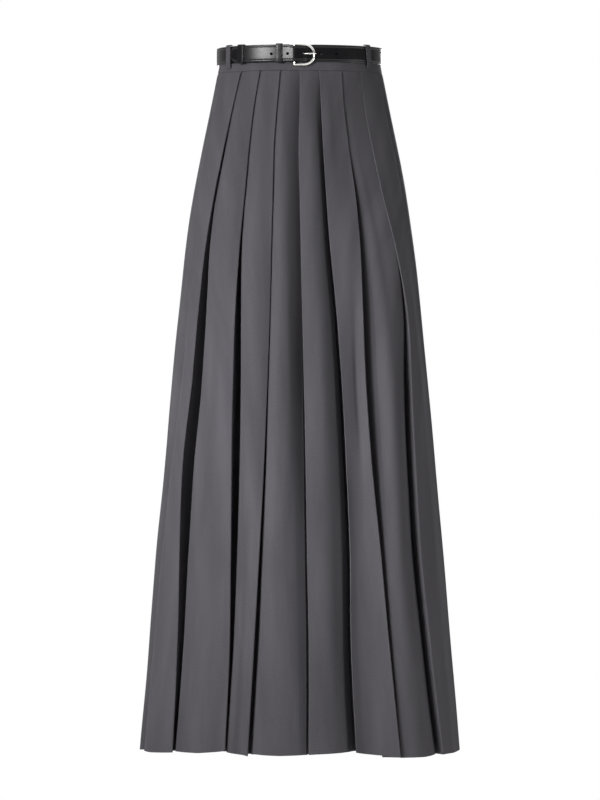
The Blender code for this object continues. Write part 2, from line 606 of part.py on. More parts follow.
for old in list(bpy.data.objects):
    bpy.data.objects.remove(old, do_unlink=True)
COLLECTION = bpy.data.collections.new("pleated_maxi_skirt")
bpy.context.scene.collection.children.link(COLLECTION)

suiting = material("charcoal suiting", (0.105, 0.103, 0.112), 0.8)
black_leather = material("black belt leather", (0.012, 0.012, 0.012), 0.35)
steel = material("polished buckle steel", (0.72, 0.71, 0.70), 0.12, 1.0)
zip_cloth = material("zip tape", (0.06, 0.06, 0.065), 0.75)

pleated_panel("front", FRONT, suiting)
pleated_panel("back", BACK, suiting)
waistband("waistband_front", 1, suiting)
waistband("waistband_back", -1, suiting)
round_waist = Round(*BELT_ROUND)
for name, (degrees, lean) in CARRIERS.items():
    carrier(name, round_waist, degrees, lean, suiting)
belt_strap(round_waist, black_leather)
for name, reach in KEEPERS.items():
    keeper(name, round_waist, reach, black_leather)
buckle_frame(round_waist, steel)
tube("buckle_prong", round_waist, [(along, out, BELT_MIDDLE) for along, out in PRONG_ROUTE], PRONG, steel)
zip_tape(zip_cloth)
zip_slider(round_waist, steel)
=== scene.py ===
"""How a pleated maxi skirt in charcoal suiting looks, with its own narrow black leather belt.

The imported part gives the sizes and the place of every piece. Each cloth piece is shaped again here from
the same tables in finer steps, and the belt, buckle and zip get their real detail.
"""
import functools
import math

import bmesh
import bpy
import numpy as np
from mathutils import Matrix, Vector


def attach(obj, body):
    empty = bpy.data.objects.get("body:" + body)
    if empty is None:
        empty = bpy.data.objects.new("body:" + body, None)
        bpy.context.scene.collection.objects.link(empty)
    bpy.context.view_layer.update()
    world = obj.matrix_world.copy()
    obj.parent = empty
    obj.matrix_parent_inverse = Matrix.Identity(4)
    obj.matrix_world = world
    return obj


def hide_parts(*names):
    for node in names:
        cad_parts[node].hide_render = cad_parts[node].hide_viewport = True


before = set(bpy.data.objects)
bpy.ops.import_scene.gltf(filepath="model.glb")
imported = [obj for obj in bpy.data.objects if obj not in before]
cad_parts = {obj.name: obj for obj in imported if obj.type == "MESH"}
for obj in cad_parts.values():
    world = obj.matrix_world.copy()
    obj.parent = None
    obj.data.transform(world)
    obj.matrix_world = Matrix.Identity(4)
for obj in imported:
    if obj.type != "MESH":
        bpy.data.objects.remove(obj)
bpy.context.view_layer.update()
MM = 0.001

# ---------------------------------------------------------------- the cut, in millimetres
WALL = 1.0                  # thickness of the cloth wall
SEAM_GAP = 0.3              # clearance between pieces that meet
FOLD_RADIUS = 0.68          # radius of a pressed fold, at the middle of the wall
LEAST_OPENING = 0.5         # what a closed pleat leaves beside its edge
EDGE_SPRING = 1.0           # how far a free right edge springs outwards
EDGE_SPRING_REACH = 3.5     # over this width
SIDE_SEAM = 94.0            # degrees round from the middle of the front
EDGE_SPRING_HEIGHTS = (-42.5, -40.3)    # it fades out between these, at the waistband
OPEN_PLEAT = 1.15           # from this opening on the cloth below shows
OPEN_DROP, CLOSED_DROP = 0.3, 1.904     # how far below the free edge it lies, at least, and when closed
LAYERS_DROP = 2.788         # how far below the free edge the lowest of a fold's three layers lies

# The cloth is drawn in at the waist seam, and goes up behind the waistband.
SEAM_TUCK_HEIGHTS = (-46.0, -42.5, -41.0, -40.3, -39.7, -36.0, -28.0)
SEAM_TUCK = (0.0, 0.15, 0.5, 1.1, 3.0, 3.6, 5.2)
SEAM_TURN = 0.9             # radius of the front's turned side edges
SEAM_LAP = 5.0              # width of their allowance, which lies behind the back's edge
SEAM_LAP_LEVEL = -1.85
ZIP_LAP_HEIGHTS = (-275.0, -235.0)      # the left one narrows between these, to make way for the zip
ZIP_LAP = 0.8
ZIP_LAP_LEVEL = -1.35

BAND_HEIGHT = 40.0          # waistband
CLOTH_TOP = -BAND_HEIGHT - SEAM_GAP
HEM = -1036.0
HEM_WAVES_FROM = -840.0     # above this the folds hang level

# The skirt's outline: half its width, and half its depth at the front and at the back.
OUTLINE_HEIGHTS = (-40, -90, -150, -220, -300, -390, -490, -610, -740, -880, -1036)
HALF_WIDTH = (121.5, 131.5, 144, 157.5, 169, 178.5, 188.5, 199, 210.5, 222, 235.5)
FRONT_DEPTH = (90, 97, 105, 113, 120, 124, 128, 132, 136, 140, 145)
BACK_DEPTH = (88, 97, 107, 118, 126, 131, 135, 139, 143, 147, 151)

LEVEL_HEIGHTS = (-40, -90, -150, -300, -490, -740, -1036)
TUCK_HEIGHTS = (-40, -300, -610, -1036)
PANEL_STATIONS = (0, -0.25, -0.5, -0.75, -1)    # across a panel, as a falling table


def fold(over, edge, opening, free, covered, well, tuck):
    """One pleat fold.

    over     the side whose cloth lies on top there
    edge     how far the free edge stands from the middle, at OUTLINE_HEIGHTS
    opening  the gap that shows beside that edge, at OUTLINE_HEIGHTS
    free     how proud the free edge is of the outline, at LEVEL_HEIGHTS
    covered  the same for the cloth that comes out from under it, where the gap ends
    well     the same for that cloth straight under the free edge
    tuck     how far the cloth is tucked in under the free edge, at TUCK_HEIGHTS
    """
    return dict(over=over, edge=edge, opening=opening, free=free, covered=covered, well=well, tuck=tuck)


LEVEL = (0,) * len(LEVEL_HEIGHTS)


def panel(hem, quarter=LEVEL, half=LEVEL, three_quarters=LEVEL):
    """One panel between two folds, whose two ends have the folds' own levels.

    hem says how much higher than the plain hem line its left end, middle and right end hang. The rest
    say how proud it is of the outline so far across, at LEVEL_HEIGHTS.
    """
    return dict(hem=hem, across=(quarter, half, three_quarters))


# The folds of the front, left to right, and the panels between them.
FRONT_FOLDS = (
    fold("right", (-118, -125, -138, -149, -158, -165, -173, -188, -201, -214, -229),
         (0.6, 1, 2.5, 4, 5, 5, 4, 2.5, 2, 1, 1), (0, 0, 0, 0, -4, -8, -6), (-2, -3, -4, -9, -12, -12, -10),
         (-3, -6, -10, -28, -30, -20, -14), (9, 8, 8, 12)),
    fold("left", (-86.5, -98, -111, -125.5, -138.5, -148.5, -158, -171, -176, -179, -186.5),
         (0.5, 0.5, 1.2, 3, 7.5, 13.5, 17, 20, 15.5, 10, 5), (0, 0, 0, 0, 0, 0, 2),
         (-2, -2, -4, -5, -6, -6, -4), (-3, -6, -14, -32, -40, -40, -20), (13, 15, 18, 22)),
    fold("left", (-58.5, -67, -74.5, -81, -88.5, -94.5, -97.5, -99.5, -100.5, -102.5, -109),
         (0.5, 0.5, 1, 1.5, 5, 11, 15, 16, 12.5, 7, 3), (0, -5, -8, -9, 2, 1, -2),
         (-2, -7, -11, -13, -7, -7, -7), (-3, -9, -15, -30, -42, -38, -18), (12, 14, 16, 20)),
    fold("left", (-29, -33.5, -38, -39.5, -42, -44, -47.5, -52.5, -59, -67, -76),
         (0.5, 0.6, 0.8, 1, 1, 1.2, 2, 4, 6, 10.5, 11), (0, -10, -14, -17, -9, 2, -5),
         (-2, -12, -17, -20, -12, -4, -9), (-3, -13, -19, -24, -22, -26, -30), (12, 12, 12, 14)),
    fold("right", (0, 0, -1.5, 0, 1.5, 3.5, 6, 8.5, 10.5, 13, 13),
         (0.6, 0.8, 1.5, 1.5, 1, 1.5, 3.5, 4.5, 4.5, 5, 5), (0, -1, -1, -1, -2, -2, -3),
         (-2, -16, -19, -26, -27, -17, -11), (-3, -18, -22, -32, -40, -38, -32), (12, 13, 14, 16)),
    fold("right", (28.5, 31, 34, 38.5, 44.5, 53.5, 61, 67.5, 73, 74.5, 82),
         (0.6, 0.8, 1.5, 1.5, 3.5, 5, 5.5, 5, 3.5, 3, 2), (0, -3, -4, -8, -13, -17, -16),
         (-2, -11, -13, -22, -30, -36, -34), (-3, -13, -18, -32, -46, -50, -42), (11, 13, 14, 18)),
    fold("left", (60.5, 63.5, 70.5, 80.5, 87.5, 91.5, 95.5, 104, 117, 130, 146.5),
         (1.2, 1.2, 1.4, 8, 13, 19.5, 21, 19, 13, 8, 4.5), (0, -11, -11, -4, -6, -5, 0),
         (-0.6, -11.6, -12.5, -9, -12, -8, -4), (-3, -14, -16, -30, -38, -34, -20), (11, 13, 16, 20)),
    fold("right", (89, 94.5, 106.5, 121, 141, 157, 163.5, 169, 177, 191, 210),
         (1.2, 1.2, 1.2, 1.2, 1.4, 2, 3, 3, 3, 3.5, 4), (0, -11, -9, 3, 0, 0, 0),
         (-0.5, -11.5, -10.5, 1, -14, -17, -15), (-3, -14, -14, -6, -30, -34, -30), (12, 13, 14, 16)),
    fold("left", (116, 124, 136, 149, 162.5, 174, 185, 196, 208, 220, 233),
         (0.5, 1.5, 2, 2, 1.5, 1, 1, 1, 1, 1, 1), (0, -3, -2, 0, 0, 0, 0), (-2, -5, -5, -5, -6, -6, -5),
         (-3, -10, -12, -12, -10, -10, -9), (11, 11, 12, 14)),
)

FRONT_PANELS = (
    panel((0, 0, 0)),
    panel((0, -0.5, 1.5), (0, 0, 0, 0, -1, -2, -1.5), (0, 0, 1, 1, 1, 1, 2), (0, 0, 1, 1, 1, 1, 3)),
    panel((3, 2, 6), (0, 0, 0, -1, -4, 0, 0), (0, -1, 0, 0, -8, -1, -1), (0, -3, -3, -2, -6, -1, -3)),
    panel((4, 1, -1), (0, -5, -8, -8, -1, -1, -9), (0, -7, -9, -8, 0, 0, -12), (0, -9, -12, -12, -3, 2, -11)),
    panel((1.5, 0, 1), (0, -8, -9, -9, -2, 0, 0), (0, -9, -9, -10, -5, -1, -1),
          (-1, -12, -13, -17, -15, -8, -4)),
    panel((1.5, 3, 4.5), (0, -1, -1, 0, -2, -2, -3), (0, -3, -2, -2, -4, -6, -7),
          (-1, -7, -6, -9, -14, -19, -18)),
    panel((3, -1, -4), (0, -4, -5, -7, -14, -21, -21), (0, -7, -8, -5, -16, -20, -20),
          (0, -9, -10, -4, -17, -14, -12)),
    panel((-5, -5, -3), (0, -12, -12, -5, -2, -1, 0), (0, -12, -12, -4, -2, -3, -2),
          (0, -12, -11.5, -1, -7, -9, -8)),
    panel((-3, -2, 0), (0, -9, -8, 1.5, 0, 0, 0), (0, -7, -6, 1, 1, 1, 1), (0, -5, -4, 0, 0, 0, 0)),
    panel((0, 0, 0), (0, -1, -1, 0, 0, 0, 0)),
)

BACK_FOLDS = (
    fold("right", (-104, -112, -125, -139, -150, -158, -166, -175, -186, -196, -208),
         (1, 1, 1, 3, 4.5, 6, 7.5, 7.5, 7.5, 6, 4.5), (0, 0, 0, 0, -2, -3, -4),
         (-2, -6, -8, -12, -18, -20, -16), (-3, -9, -13, -21, -31, -35, -30), (12, 13, 14, 16)),
    fold("right", (-72, -78, -85, -92, -99, -106, -112, -119, -126, -133, -142),
         (1, 1, 1, 1, 3, 6, 9, 12, 12, 9, 6), (0, 0, 0, -2, -4, -6, -8), (-2, -6, -10, -18, -28, -32, -30),
         (-3, -10, -16, -30, -45, -51, -46), (12, 13, 14, 18)),
    fold("right", (-38, -42, -46, -50, -54, -58, -62, -66, -70, -75, -80),
         (1, 1, 3, 4.5, 7.5, 10.5, 12, 10.5, 9, 6, 4.5), LEVEL,
         (-2, -6, -10, -16, -20, -18, -14), (-3, -11, -17, -30, -39, -39, -30), (12, 13, 14, 18)),
    fold("left", (-6, -6, -6, -6, -5, -5, -4, -3, -1, 1, 4), (1, 1, 1, 1, 1, 1, 3, 4.5, 4.5, 4.5, 4.5),
         (0, -1, -2, -6, -10, -6, 0), (-2, -6, -8, -14, -22, -18, -12), (-3, -8, -12, -20, -29, -27, -24),
         (12, 13, 13, 16)),
    fold("right", (26, 29, 32, 36, 39, 42, 44, 48, 52, 57, 62), (1, 1, 1, 3, 4.5, 7.5, 9, 12, 13.5, 12, 9),
         (0, 0, 0, -4, -12, -20, -22), (-2, -6, -10, -22, -38, -44, -42),
         (-3, -10, -16, -32, -51, -58, -56), (11, 13, 14, 18)),
    fold("left", (66, 72, 78, 84, 89, 94, 98, 103, 108, 115, 124), (1, 1, 1, 1, 3, 4.5, 6, 7.5, 9, 7.5, 6),
         (0, 0, 0, 0, 0, 0, 2), (-2, -6, -8, -14, -18, -14, -10), (-3, -10, -14, -26, -35, -33, -26),
         (11, 12, 14, 18)),
    fold("left", (102, 111, 123, 136, 145, 153, 160, 169, 178, 189, 202),
         (1, 1, 1, 3, 4.5, 6, 7.5, 7.5, 7.5, 4.5, 3), LEVEL,
         (-2, -5, -7, -12, -18, -18, -14), (-3, -8, -12, -21, -31, -33, -28), (12, 13, 14, 16)),
)

BACK_PANELS = (
    panel((0, 0, 0), LEVEL, (0, 0, -1, -1, -2, -2, -2), (-1, -2, -4, -6, -8, -9, -7)),
    panel((0, 1, 2), (0, 0, 1, 1, 0, -2, -2), (0, 0, 0, -1, -3, -4, -3), (-1, -2, -4, -8, -13, -15, -13)),
    panel((1, 0, -2), (0, 0, 1, 1, 0, -2, -3), (0, 0, 0, -1, -3, -4, -4), (-1, -2, -4, -7, -10, -10, -8)),
    panel((-2, 0, 3), (0, 0, 1, 2, 3, 2, 3), (0, 0, 1, 2, 3, 3, 4), (0, 0, 0, -1, -2, 0, 3)),
    panel((2, 0, 1), (0, 0, 0, -1, -2, -2, 0), (0, 0, 1, 0, -2, -2, 1), (-1, -2, -3, -9, -16, -19, -15)),
    panel((2, -1, -3), (0, 0, 1, -1, -6, -10, -9), (0, 0, 1, 0, -2, -3, 0), (0, 0, 1, 0, -2, -2, 2)),
    panel((-2, -1, 0), (-1, -2, -2, -4, -6, -4, -3), (0, 0, 1, 1, 1, 1, 2), (0, 0, 1, 1, 1, 1, 2)),
    panel((0, 0, 0), (-1, -2, -3, -5, -7, -7, -5), (0, 0, 0, 0, -1, -1, 0)),
)

FRONT = dict(facing=1, span=SIDE_SEAM, depth=FRONT_DEPTH, beyond=BACK_DEPTH,
             folds=FRONT_FOLDS, panels=FRONT_PANELS, panel_steps=28)
BACK = dict(facing=-1, span=180.0 - SIDE_SEAM, depth=BACK_DEPTH, beyond=FRONT_DEPTH,
            folds=BACK_FOLDS, panels=BACK_PANELS, panel_steps=32)

BELT_ROUND = (118.9, 88.0, 87.1)        # oval that the belt lies on: half width, front and back depth
BAND_HEIGHTS = (0.0, -28.0, -40.0)      # waistband: its outer face at these heights
BAND_TOP = -2.7             # the belt hides its upper edge
BAND_WIDE = (118.1, 118.8, 121.2)
BAND_FRONT = (87.2, 87.9, 89.8)
BAND_BACK = (86.3, 87.0, 88.8)
BAND_WALL = 1.6

BELT_TOP = -2.5
BELT_WIDTH = 25.0
BELT_MIDDLE = BELT_TOP - BELT_WIDTH / 2
STRAP = 2.0                 # thickness of the leather
HOLE = 4.4                  # across a punched hole
HOLE_DROP = 1.1             # how far below the strap's middle the holes lie
HOLE_DROP_REACH = 7.5       # the leather up to this far from its middle is shaped down with them
HINGE_AT = -8.0             # buckle: its hinge bar and the far side of its frame, from the middle
FRAME_END = 20.4
FRAME_LEVEL = 4.4           # how far out the frame lies
FRAME_BAR = 3.4             # thickness of the frame
HINGE_BAR = 2.6             # and of its hinge bar
FRAME_RISE = 14.6           # half the frame's height, at the middle of its bar
FRAME_DROP = 2.4            # how far below the strap's middle the frame hangs
PRONG = 1.8                 # thickness of the prong
LOOP_RADIUS = HINGE_BAR / 2 + SEAM_GAP + STRAP / 2

UNDER_LEVEL, OVER_LEVEL = 2.9, 5.2      # the strap's first run under the keepers, and its free end on it
# The strap's routes, as (along, out): its sewn-down return, its run from the hinge bar to the left, its
# step over the zip, and its free end, which comes round from the right to lie on top of the first run.
STRAP_RETURN = ((-21.0, 1.3), (-18.0, 1.32), (-15.0, 1.38), (-12.0, 1.5), (-10.0, 1.65))
STRAP_START = ((HINGE_AT, FRAME_LEVEL + LOOP_RADIUS), (-10.5, 6.5), (-13.0, 5.2), (-15.5, 4.1), (-18.0, 3.7),
               (-21.0, 3.6), (-24.5, UNDER_LEVEL), (-102.0, UNDER_LEVEL), (-110.0, 1.3))
STRAP_AT_ZIP = ((-156.0, 1.3), (-166.0, 3.1), (-184.0, 3.1), (-194.0, 1.3))
FREE_END = ((26.0, 1.3), (18.0, 1.3), (13.5, 1.35), (10.8, 1.8), (7.3, 4.1), (3.5, 6.1), (-2.0, 8.3),
            (HINGE_AT, 9.3), (-10.5, 8.85), (-13.0, 7.75), (-15.5, 6.95), (-18.0, 6.4), (-21.0, 5.95),
            (-25.0, OVER_LEVEL), (-104.0, OVER_LEVEL), (-108.0, OVER_LEVEL))
PUNCHED = (53.9, 29.7, -17.1, -40.6)    # the holes that the prong isn't in, along the free end
PRONG_HOLE = (3.5, 10.8)                # the one it is in, and the slot for it in the strap's loop
PRONG_SLOT = (-12.0, -5.0)
PRESSED = ((-15.5, -10.5, 11.0, 18.0), (0.0, 1.0, 1.0, 0.0))   # where the frame presses its edge in
HOLE_SHADE_SPAN = (-100.0, -12.0)              # painted shade on its first run, where the free end covers it
TIP = 14.0                              # length of the rounded tip
PRONG_ROUTE = ((-6.2, 2.6), (-8, 1.9), (-9.8, 2.6), (-10.5, 4.4), (-9.8, 6.2), (-8, 6.9), (-5, 6.4),
               (-1, 5.2), (3, 4.1), (5, 4.2), (7.5, 4.7), (10, 5.5), (12.5, 6.3), (16, 7.0), (20.4, 7.2),
               (22.6, 6.9))
# Half of the strap's section, from the middle of its face to the middle of its back, as (side, height):
# the line creased in along the edge is a shallow groove.
STRAP_SECTION = ((1, 0), (1, 1.1), (1, 2.2), (0.99, 4.5), (0.95, 7.5), (0.92, 8.7), (0.82, 9.0), (0.56, 9.35),
                 (0.78, 9.7), (0.88, 10.1), (0.84, 11.0), (0.7, 11.8), (0.42, 12.3), (0, 12.5), (-0.45, 12.3),
                 (-0.8, 11.8), (-0.97, 11.0), (-1, 7.5), (-1, 4.5), (-1, 2.2), (-1, 1.1), (-1, 0))
KEEPER_WALL = 1.3
KEEPERS = dict(keeper_near=(-34.0, -25.0), keeper_far=(-93.0, -83.0))
CARRIER_WALL = 1.2
CARRIER_WIDTH = 10.0
CARRIERS = dict(carrier_front_left=(-59.8, 0.0), carrier_front_right=(54.6, 5.0),
                carrier_back_left=(-125.0, 0.0), carrier_back_right=(122.0, -2.0))
CARRIER_ROUTE = ((-1.6, -1.1), (0.6, -0.8), (2.2, -0.9), (3.2, -2.0), (3.3, -5.0), (3.3, -16.0),
                 (3.3, -28.5), (2.85, -32.0), (2.4, -35.2))
ZIP_LENGTH = 215.0          # a concealed zip in the left side seam
ZIP_WIDTH = 14.0
ZIP_WALL = 1.2
ZIP_INSET = 3.5             # from the skirt's outline to the middle of the tape
ZIP_BEHIND_BAND = 1.2       # how much further in it is there
TAB_TOP, TAB_FOOT = -4.0, -23.0
TAB_LEVELS = (0.6, 1.8)     # the slider's tab lies flat between waistband and belt

# The studio, in metres.
FLOOR = -1.2
CAMERA_AWAY = 7.5
CAMERA_HEIGHT = -0.5207
FIELD_WIDTH = 0.885         # what the picture spans at the skirt

# How finely the cloth is stepped: down its length, round a fold, under it and up its opening.
CLOTH_HEIGHTS = np.concatenate((
    (-28.0, -36.0, -39.6, CLOTH_TOP, -41.0, -42.5), np.linspace(-45.0, -60.0, 5),
    np.linspace(-70.0, HEM + 14.0, 74), (HEM + 8.0, HEM + 4.0, HEM + 1.5, HEM)))
TURN_ANGLES = (90.0, 60.0, 30.0, 0.0, -30.0, -60.0, -90.0)
UNDER_STEPS = (0.33, 0.67)
RISE_STEPS = (0.15, 0.3, 0.45, 0.6, 0.75, 0.88)


# ---------------------------------------------------------------- materials
def colour(code):
    """An sRGB hex value as the linear colour a shader takes."""
    values = [int(code[i:i + 2], 16) / 255 for i in (1, 3, 5)]
    return tuple(v / 12.92 if v <= 0.04045 else ((v + 0.055) / 1.055) ** 2.4 for v in values) + (1.0,)


def add_node(tree, kind, inputs=None, **settings):
    """Add one node with its settings, and with its inputs either set or linked from a socket."""
    made = tree.nodes.new("ShaderNode" + kind)
    for name, value in settings.items():
        setattr(made, name, value)
    for name, value in (inputs or {}).items():
        if isinstance(value, bpy.types.NodeSocket):
            tree.links.new(value, made.inputs[name])
        else:
            made.inputs[name].default_value = value
    return made


def new_material(name):
    """An empty material, and the function that adds a node to it."""
    made = bpy.data.materials.new(name)
    made.use_nodes = True
    made.node_tree.nodes.clear()
    return made, functools.partial(add_node, made.node_tree)


def two_tone(node, factor, first, second):
    """A colour between two sRGB values."""
    mixed = node("Mix", {"Factor": factor, "A": colour(first), "B": colour(second)}, data_type="RGBA")
    return mixed.outputs["Result"]


def shade(node, inputs, height=None, strength=0.0, depth=0.0):
    """End a material in its shader, with a bump from a texture that is depth millimetres deep."""
    if height:
        bump = node("Bump", {"Height": height, "Strength": strength, "Distance": depth * MM})
        inputs["Normal"] = bump.outputs["Normal"]
    shader = node("BsdfPrincipled", inputs)
    node("OutputMaterial", {"Surface": shader.outputs["BSDF"]})


def suiting_cloth():
    """Charcoal suiting: a matt wool-like twill, dyed in the yarn, so it has a faint heather of two
    greys and a soft bloom where it turns away from the eye."""
    made, node = new_material("charcoal_suiting_twill")
    place = node("UVMap", uv_map="cloth").outputs["UV"]
    # Uneven dye: soft streaks about 30 mm wide down the cloth, and the heather of single yarns.
    down = node("Mapping", {"Vector": place, "Scale": (34.0, 5.0, 1.0)})
    bolt = node("TexNoise", {"Vector": down.outputs["Vector"], "Scale": 1.0, "Detail": 4.0})
    yarn = node("TexNoise", {"Vector": place, "Scale": 700.0, "Detail": 2.0})
    # The real twill line is under 0.5 mm. It is drawn 1.3 mm apart, or it wouldn't show.
    twill = node("TexWave", {"Vector": place, "Scale": math.tau / (10 * 1.3 * MM), "Distortion": 0.6,
                             "Detail": 1.0, "Detail Scale": 2.0},
                 wave_type="BANDS", bands_direction="DIAGONAL")
    mottle = node("Math", {0: yarn.outputs["Fac"], 1: bolt.outputs["Fac"]}, operation="ADD")
    mottle = node("MapRange", {"Value": mottle.outputs[0], "From Min": 0.7, "From Max": 1.3})
    grey = two_tone(node, mottle.outputs[0], "#4f4d52", "#636166")
    weave = node("Math", {0: twill.outputs["Fac"], 1: yarn.outputs["Fac"]}, operation="ADD")
    shade(node, {"Base Color": grey, "Roughness": 0.82, "IOR": 1.45, "Specular IOR Level": 0.3,
                 "Sheen Weight": 0.18, "Sheen Roughness": 0.45, "Sheen Tint": colour("#c9c9d2")},
          weave.outputs[0], strength=0.25, depth=0.05)
    return made


def belt_leather():
    """Vegetable-tanned cowhide, dyed black and glazed: a close shallow grain under an even shine."""
    made, node = new_material("black_glazed_cowhide")
    place = node("TexCoord").outputs["Object"]
    # Grain cells of about 0.7 mm. The creases between them are thin, so they only soften the shine.
    grain = node("TexVoronoi", {"Vector": place, "Scale": 1 / (0.7 * MM)}, feature="DISTANCE_TO_EDGE")
    crease = node("MapRange", {"Value": grain.outputs["Distance"], "From Max": 0.12})
    wear = node("TexNoise", {"Vector": place, "Scale": 90.0, "Detail": 4.0}).outputs["Fac"]
    dull = node("MapRange", {"Value": wear, "From Min": 0.3, "From Max": 0.7, "To Min": 0.26, "To Max": 0.3})
    shade(node, {"Base Color": two_tone(node, wear, "#0f0f11", "#161619"), "Roughness": dull.outputs[0],
                 "IOR": 1.5, "Specular IOR Level": 0.36}, crease.outputs[0], strength=0.07, depth=0.05)
    return made


def hole_shade_leather():
    """Painted shade: black hide darker and more matt than the shiny face, for the floors of the holes."""
    made, node = new_material("painted_shade_black_leather")
    place = node("TexCoord").outputs["Object"]
    nap = node("TexNoise", {"Vector": place, "Scale": 400.0, "Detail": 3.0}).outputs["Fac"]
    shade(node, {"Base Color": two_tone(node, nap, "#060607", "#0c0c0d"), "Roughness": 0.95,
                 "Specular IOR Level": 0.08})
    return made


def buckle_steel():
    """Nickel-plated steel, cast and polished: a bright even mirror, dulled a little by handling."""
    made, node = new_material("polished_nickel_plated_steel")
    place = node("TexCoord").outputs["Object"]
    smear = node("TexNoise", {"Vector": place, "Scale": 260.0, "Detail": 5.0}).outputs["Fac"]
    dull = node("MapRange", {"Value": smear, "From Min": 0.35, "From Max": 0.7,
                             "To Min": 0.10, "To Max": 0.22})
    shade(node, {"Base Color": colour("#f1efea"), "Metallic": 1.0, "Roughness": dull.outputs[0]},
          smear, strength=0.06, depth=0.05)
    return made


def zip_weave():
    """Polyester zip tape, woven close and dyed to the cloth, with the coil's rungs across its middle."""
    made, node = new_material("woven_polyester_zip_tape")
    place = node("UVMap", uv_map="cloth").outputs["UV"]
    # Rungs of the coil and ribs of the tape, both 1.1 mm apart.
    rungs = node("TexWave", {"Vector": place, "Scale": math.tau / (20 * 1.1 * MM), "Distortion": 0.3},
                 wave_type="BANDS", bands_direction="X").outputs["Fac"]
    shade(node, {"Base Color": two_tone(node, rungs, "#434347", "#56565b"), "Roughness": 0.7},
          rungs, strength=0.5, depth=0.15)
    return made


# ---------------------------------------------------------------- the shape of the cloth
def through(heights, values, z):
    """A smooth curve through a table's values, read at height z."""
    at = min(max(z, heights[-1]), heights[0])
    i = 0
    while i < len(heights) - 2 and heights[i + 1] >= at:
        i += 1

    def slope(k):
        before, after = max(0, k - 1), min(len(heights) - 1, k + 1)
        if before == k or after == k:
            return (values[after] - values[before]) / (heights[after] - heights[before])
        a, b = heights[k] - heights[before], heights[after] - heights[k]
        return (b * (values[k] - values[before]) / a + a * (values[after] - values[k]) / b) / (a + b)

    h = heights[i + 1] - heights[i]
    t = (at - heights[i]) / h
    return ((2 * t ** 3 - 3 * t ** 2 + 1) * values[i] + (t ** 3 - 2 * t ** 2 + t) * h * slope(i)
            + (3 * t ** 2 - 2 * t ** 3) * values[i + 1] + (t ** 3 - t ** 2) * h * slope(i + 1))


def running(steps):
    """How far along a line each of its points lies, from the lengths of its steps."""
    return np.concatenate(([0.0], np.cumsum(steps)))


class Oval:
    """A plain oval seen from above. deep is its half depth at each angle, and along starts from start."""

    def __init__(self, angle, wide, deep, start):
        self.angle, self.x, self.y = angle, wide * np.sin(angle), -deep * np.cos(angle)
        run = running(np.hypot(np.diff(self.x), np.diff(self.y)))
        self.along = run - np.interp(start, angle, run)
        out_x, out_y = np.sin(angle) / wide, -np.cos(angle) / deep
        size = np.hypot(out_x, out_y)
        self.out_x, self.out_y = out_x / size, out_y / size

    def at(self, degrees):
        return float(np.interp(math.radians(degrees), self.angle, self.along))

    def beside(self, along, out):
        """The x and y of a point that far along the oval and that far out from it."""
        x, out_x, y, out_y = [np.interp(along, self.along, table)
                              for table in (self.x, self.out_x, self.y, self.out_y)]
        return x + out * out_x, y + out * out_y


class Outline(Oval):
    """The skirt's plain outline at one height, from side seam to side seam of the front or back.

    It is half an ellipse, and past the widest point it turns on to the other half's depth. It runs on a
    little past both side seams, for the seam allowance.
    """

    def __init__(self, half, z):
        span = half["span"]
        angle = np.radians(np.linspace(-span - 4.0, span + 4.0, 785))
        deep = np.where(np.abs(angle) < math.pi / 2, through(OUTLINE_HEIGHTS, half["depth"], z),
                        through(OUTLINE_HEIGHTS, half["beyond"], z))
        super().__init__(angle, through(OUTLINE_HEIGHTS, HALF_WIDTH, z), deep, -math.radians(span))
        self.length = self.at(span)

    def find(self, x, level):
        """How far along the point lies that is seen at x and stands level proud of the outline."""
        seen = self.x + level * self.out_x
        facing = np.abs(self.angle) < math.radians(89.5)
        return float(np.interp(x, seen[facing], self.along[facing]))

    def across(self, along, opening, drop):
        """The distance along that shows as opening, where the far side lies lower by drop."""
        out_x = np.interp(along, self.along, self.out_x)
        facing = max(0.5, math.sqrt(1 - out_x ** 2))
        return max(LEAST_OPENING, (opening - max(0.0, drop * out_x)) / facing)


def end_of(spot, on_left):
    """Where a panel ends at a fold: (along, level, free). on_left says the fold is on its left."""
    kind = "free" if (spot["side"] < 0) == on_left else "covered"
    return spot[kind + "_at"], spot[kind], kind == "free"


